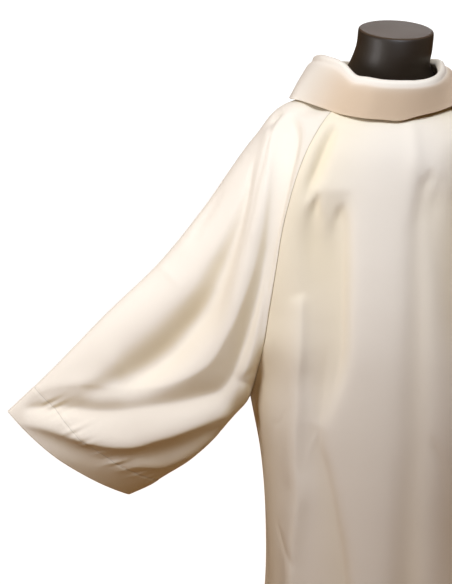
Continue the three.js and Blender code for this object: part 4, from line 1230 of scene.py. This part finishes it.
makeForm()
poleFoot = form["baseThickness"] + form["gap"]
formFoot = form["rings"][0][0]
pole = form["poleRadius"]
base = form["baseRadius"]
makeTurned("poleTurned", "stand_pole", [
    [36, poleFoot], [36, poleFoot + 4], [34, poleFoot + 5.5], [24, poleFoot + 9],
    [pole + 3, poleFoot + 14], [pole, poleFoot + 17], [pole, 430], [pole + 0.8, 431],
    [pole + 0.8, 447], [pole, 448], [pole, formFoot - 9], [44, formFoot - 7], [46, formFoot - 5],
    [46, formFoot - form["gap"]],
])
makeTurned("baseTurned", "stand_base", [
    [base - 1.2, 0], [base, 1.2], [base, 7.5], [base - 1.5, 9.8], [base - 4, 11.2], [base - 9, 12],
    [60, 12],
])


camera = {"place": (-0.4949, -2.1436, 1.540), "aim": (-0.2712, 0, 1.1362), "lens": 82.66}


def aimAt(made, place, aim):
    made.location = place
    made.rotation_euler = (Vector(aim) - Vector(place)).to_track_quat("-Z", "Y").to_euler()


def makeCamera():
    data = bpy.data.cameras.new("camera")
    data.lens = camera["lens"]
    data.sensor_width = 36
    data.clip_end = 60
    made = addObject("camera", data)
    aimAt(made, camera["place"], camera["aim"])
    bpy.context.scene.camera = made


makeCamera()


studio = {
    "floorHalf": 14,
    "floorGrain": 90,
    "floorRoughness": 0.9,
    "floorTones": [(0.38, 0.24, 0.12, 1), (0.4, 0.255, 0.135, 1)],
    "whiteFrom": 0.4,
    "whiteTo": 1.4,
    "contactTone": 0.78,
    "air": (1, 0.57, 0.25, 1),
    "airStrength": 0.21,
    "backdropStrength": 1.2,
}


def makeFloor():
    mesh = bpy.data.meshes.new("floor")
    half = studio["floorHalf"]
    corners = [(-half, -half, 0), (half, -half, 0), (half, half, 0), (-half, half, 0)]
    mesh.from_pydata(corners, [], [(0, 1, 2, 3)])
    floor = addObject("floor", mesh)
    material, tree, shader = nodeMaterial("paleFloor")
    place = objectPlace(tree)
    # Painted light: the floor glows plain white to the camera away from the stand, and less near it so
    # that the shadows there show.
    far = addNode(tree, "ShaderNodeVectorMath", {0: place}, operation="LENGTH").outputs["Value"]
    white = addRange(tree, far, studio["contactTone"], 1, studio["whiteFrom"], studio["whiteTo"])
    rays = addNode(tree, "ShaderNodeLightPath")
    grain = addNoise(tree, place, studio["floorGrain"], 2)
    fillSockets(tree, shader, {
        "Base Color": addMix(tree, grain, *studio["floorTones"]),
        "Roughness": studio["floorRoughness"],
        "Emission Color": (1, 1, 1, 1),
        "Emission Strength": addMath(tree, "MULTIPLY", rays.outputs["Is Camera Ray"], white),
    })
    mesh.materials.append(material)


def makeAir():
    world = bpy.data.worlds.new("studio")
    bpy.context.scene.world = world
    world.use_nodes = True
    tree = world.node_tree
    air = tree.nodes["Background"]
    fillSockets(tree, air, {"Color": studio["air"], "Strength": studio["airStrength"]})
    inputs = {"Color": (1, 1, 1, 1), "Strength": studio["backdropStrength"]}
    white = addNode(tree, "ShaderNodeBackground", inputs)
    rays = addNode(tree, "ShaderNodeLightPath")
    inputs = {0: rays.outputs["Is Camera Ray"], 1: air.outputs[0], 2: white.outputs[0]}
    mixed = addNode(tree, "ShaderNodeMixShader", inputs)
    tree.links.new(mixed.outputs[0], tree.nodes["World Output"].inputs["Surface"])


lights = {
    # place, aim, size, watts and colour; only the glossy form reflects the two strips
    "overhead": [(-0.05, -1.25, 2.45), (-0.3, 0, 1.1), 0.6, 24, (0.81, 0.89, 1)],
    "leftSide": [(-1, -0.45, 1.55), (-0.3, 0, 1.1), 0.5, 5.4, (1, 0.99, 1)],
    "behind": [(0.6, 2.3, 2.2), (0, 0, 1.1), 1.0, 20, (0.9, 0.95, 1)],
    "stripLeft": [(-1.7, -0.5, 1.6), (0, 0, 1.5), 1.8, 0.5, (1, 0.92, 0.8)],
    "stripRight": [(1.6, -0.3, 1.6), (0, 0, 1.5), 1.8, 1.2, (1, 0.92, 0.8)],
}


def areaLight(name, place, aim, size, power, colour):
    data = bpy.data.lights.new(name, "AREA")
    data.shape = "DISK"
    data.size = size
    data.energy = power
    data.color = colour
    made = addObject(name, data)
    aimAt(made, place, aim)
    return made


makeFloor()
makeAir()
for name, facts in lights.items():
    light = areaLight(name, *facts)
    light.visible_camera = name == "overhead"
    light.visible_diffuse = not name.startswith("strip")
print("studio lit")
bpy.context.scene.view_settings.view_transform = "Standard"
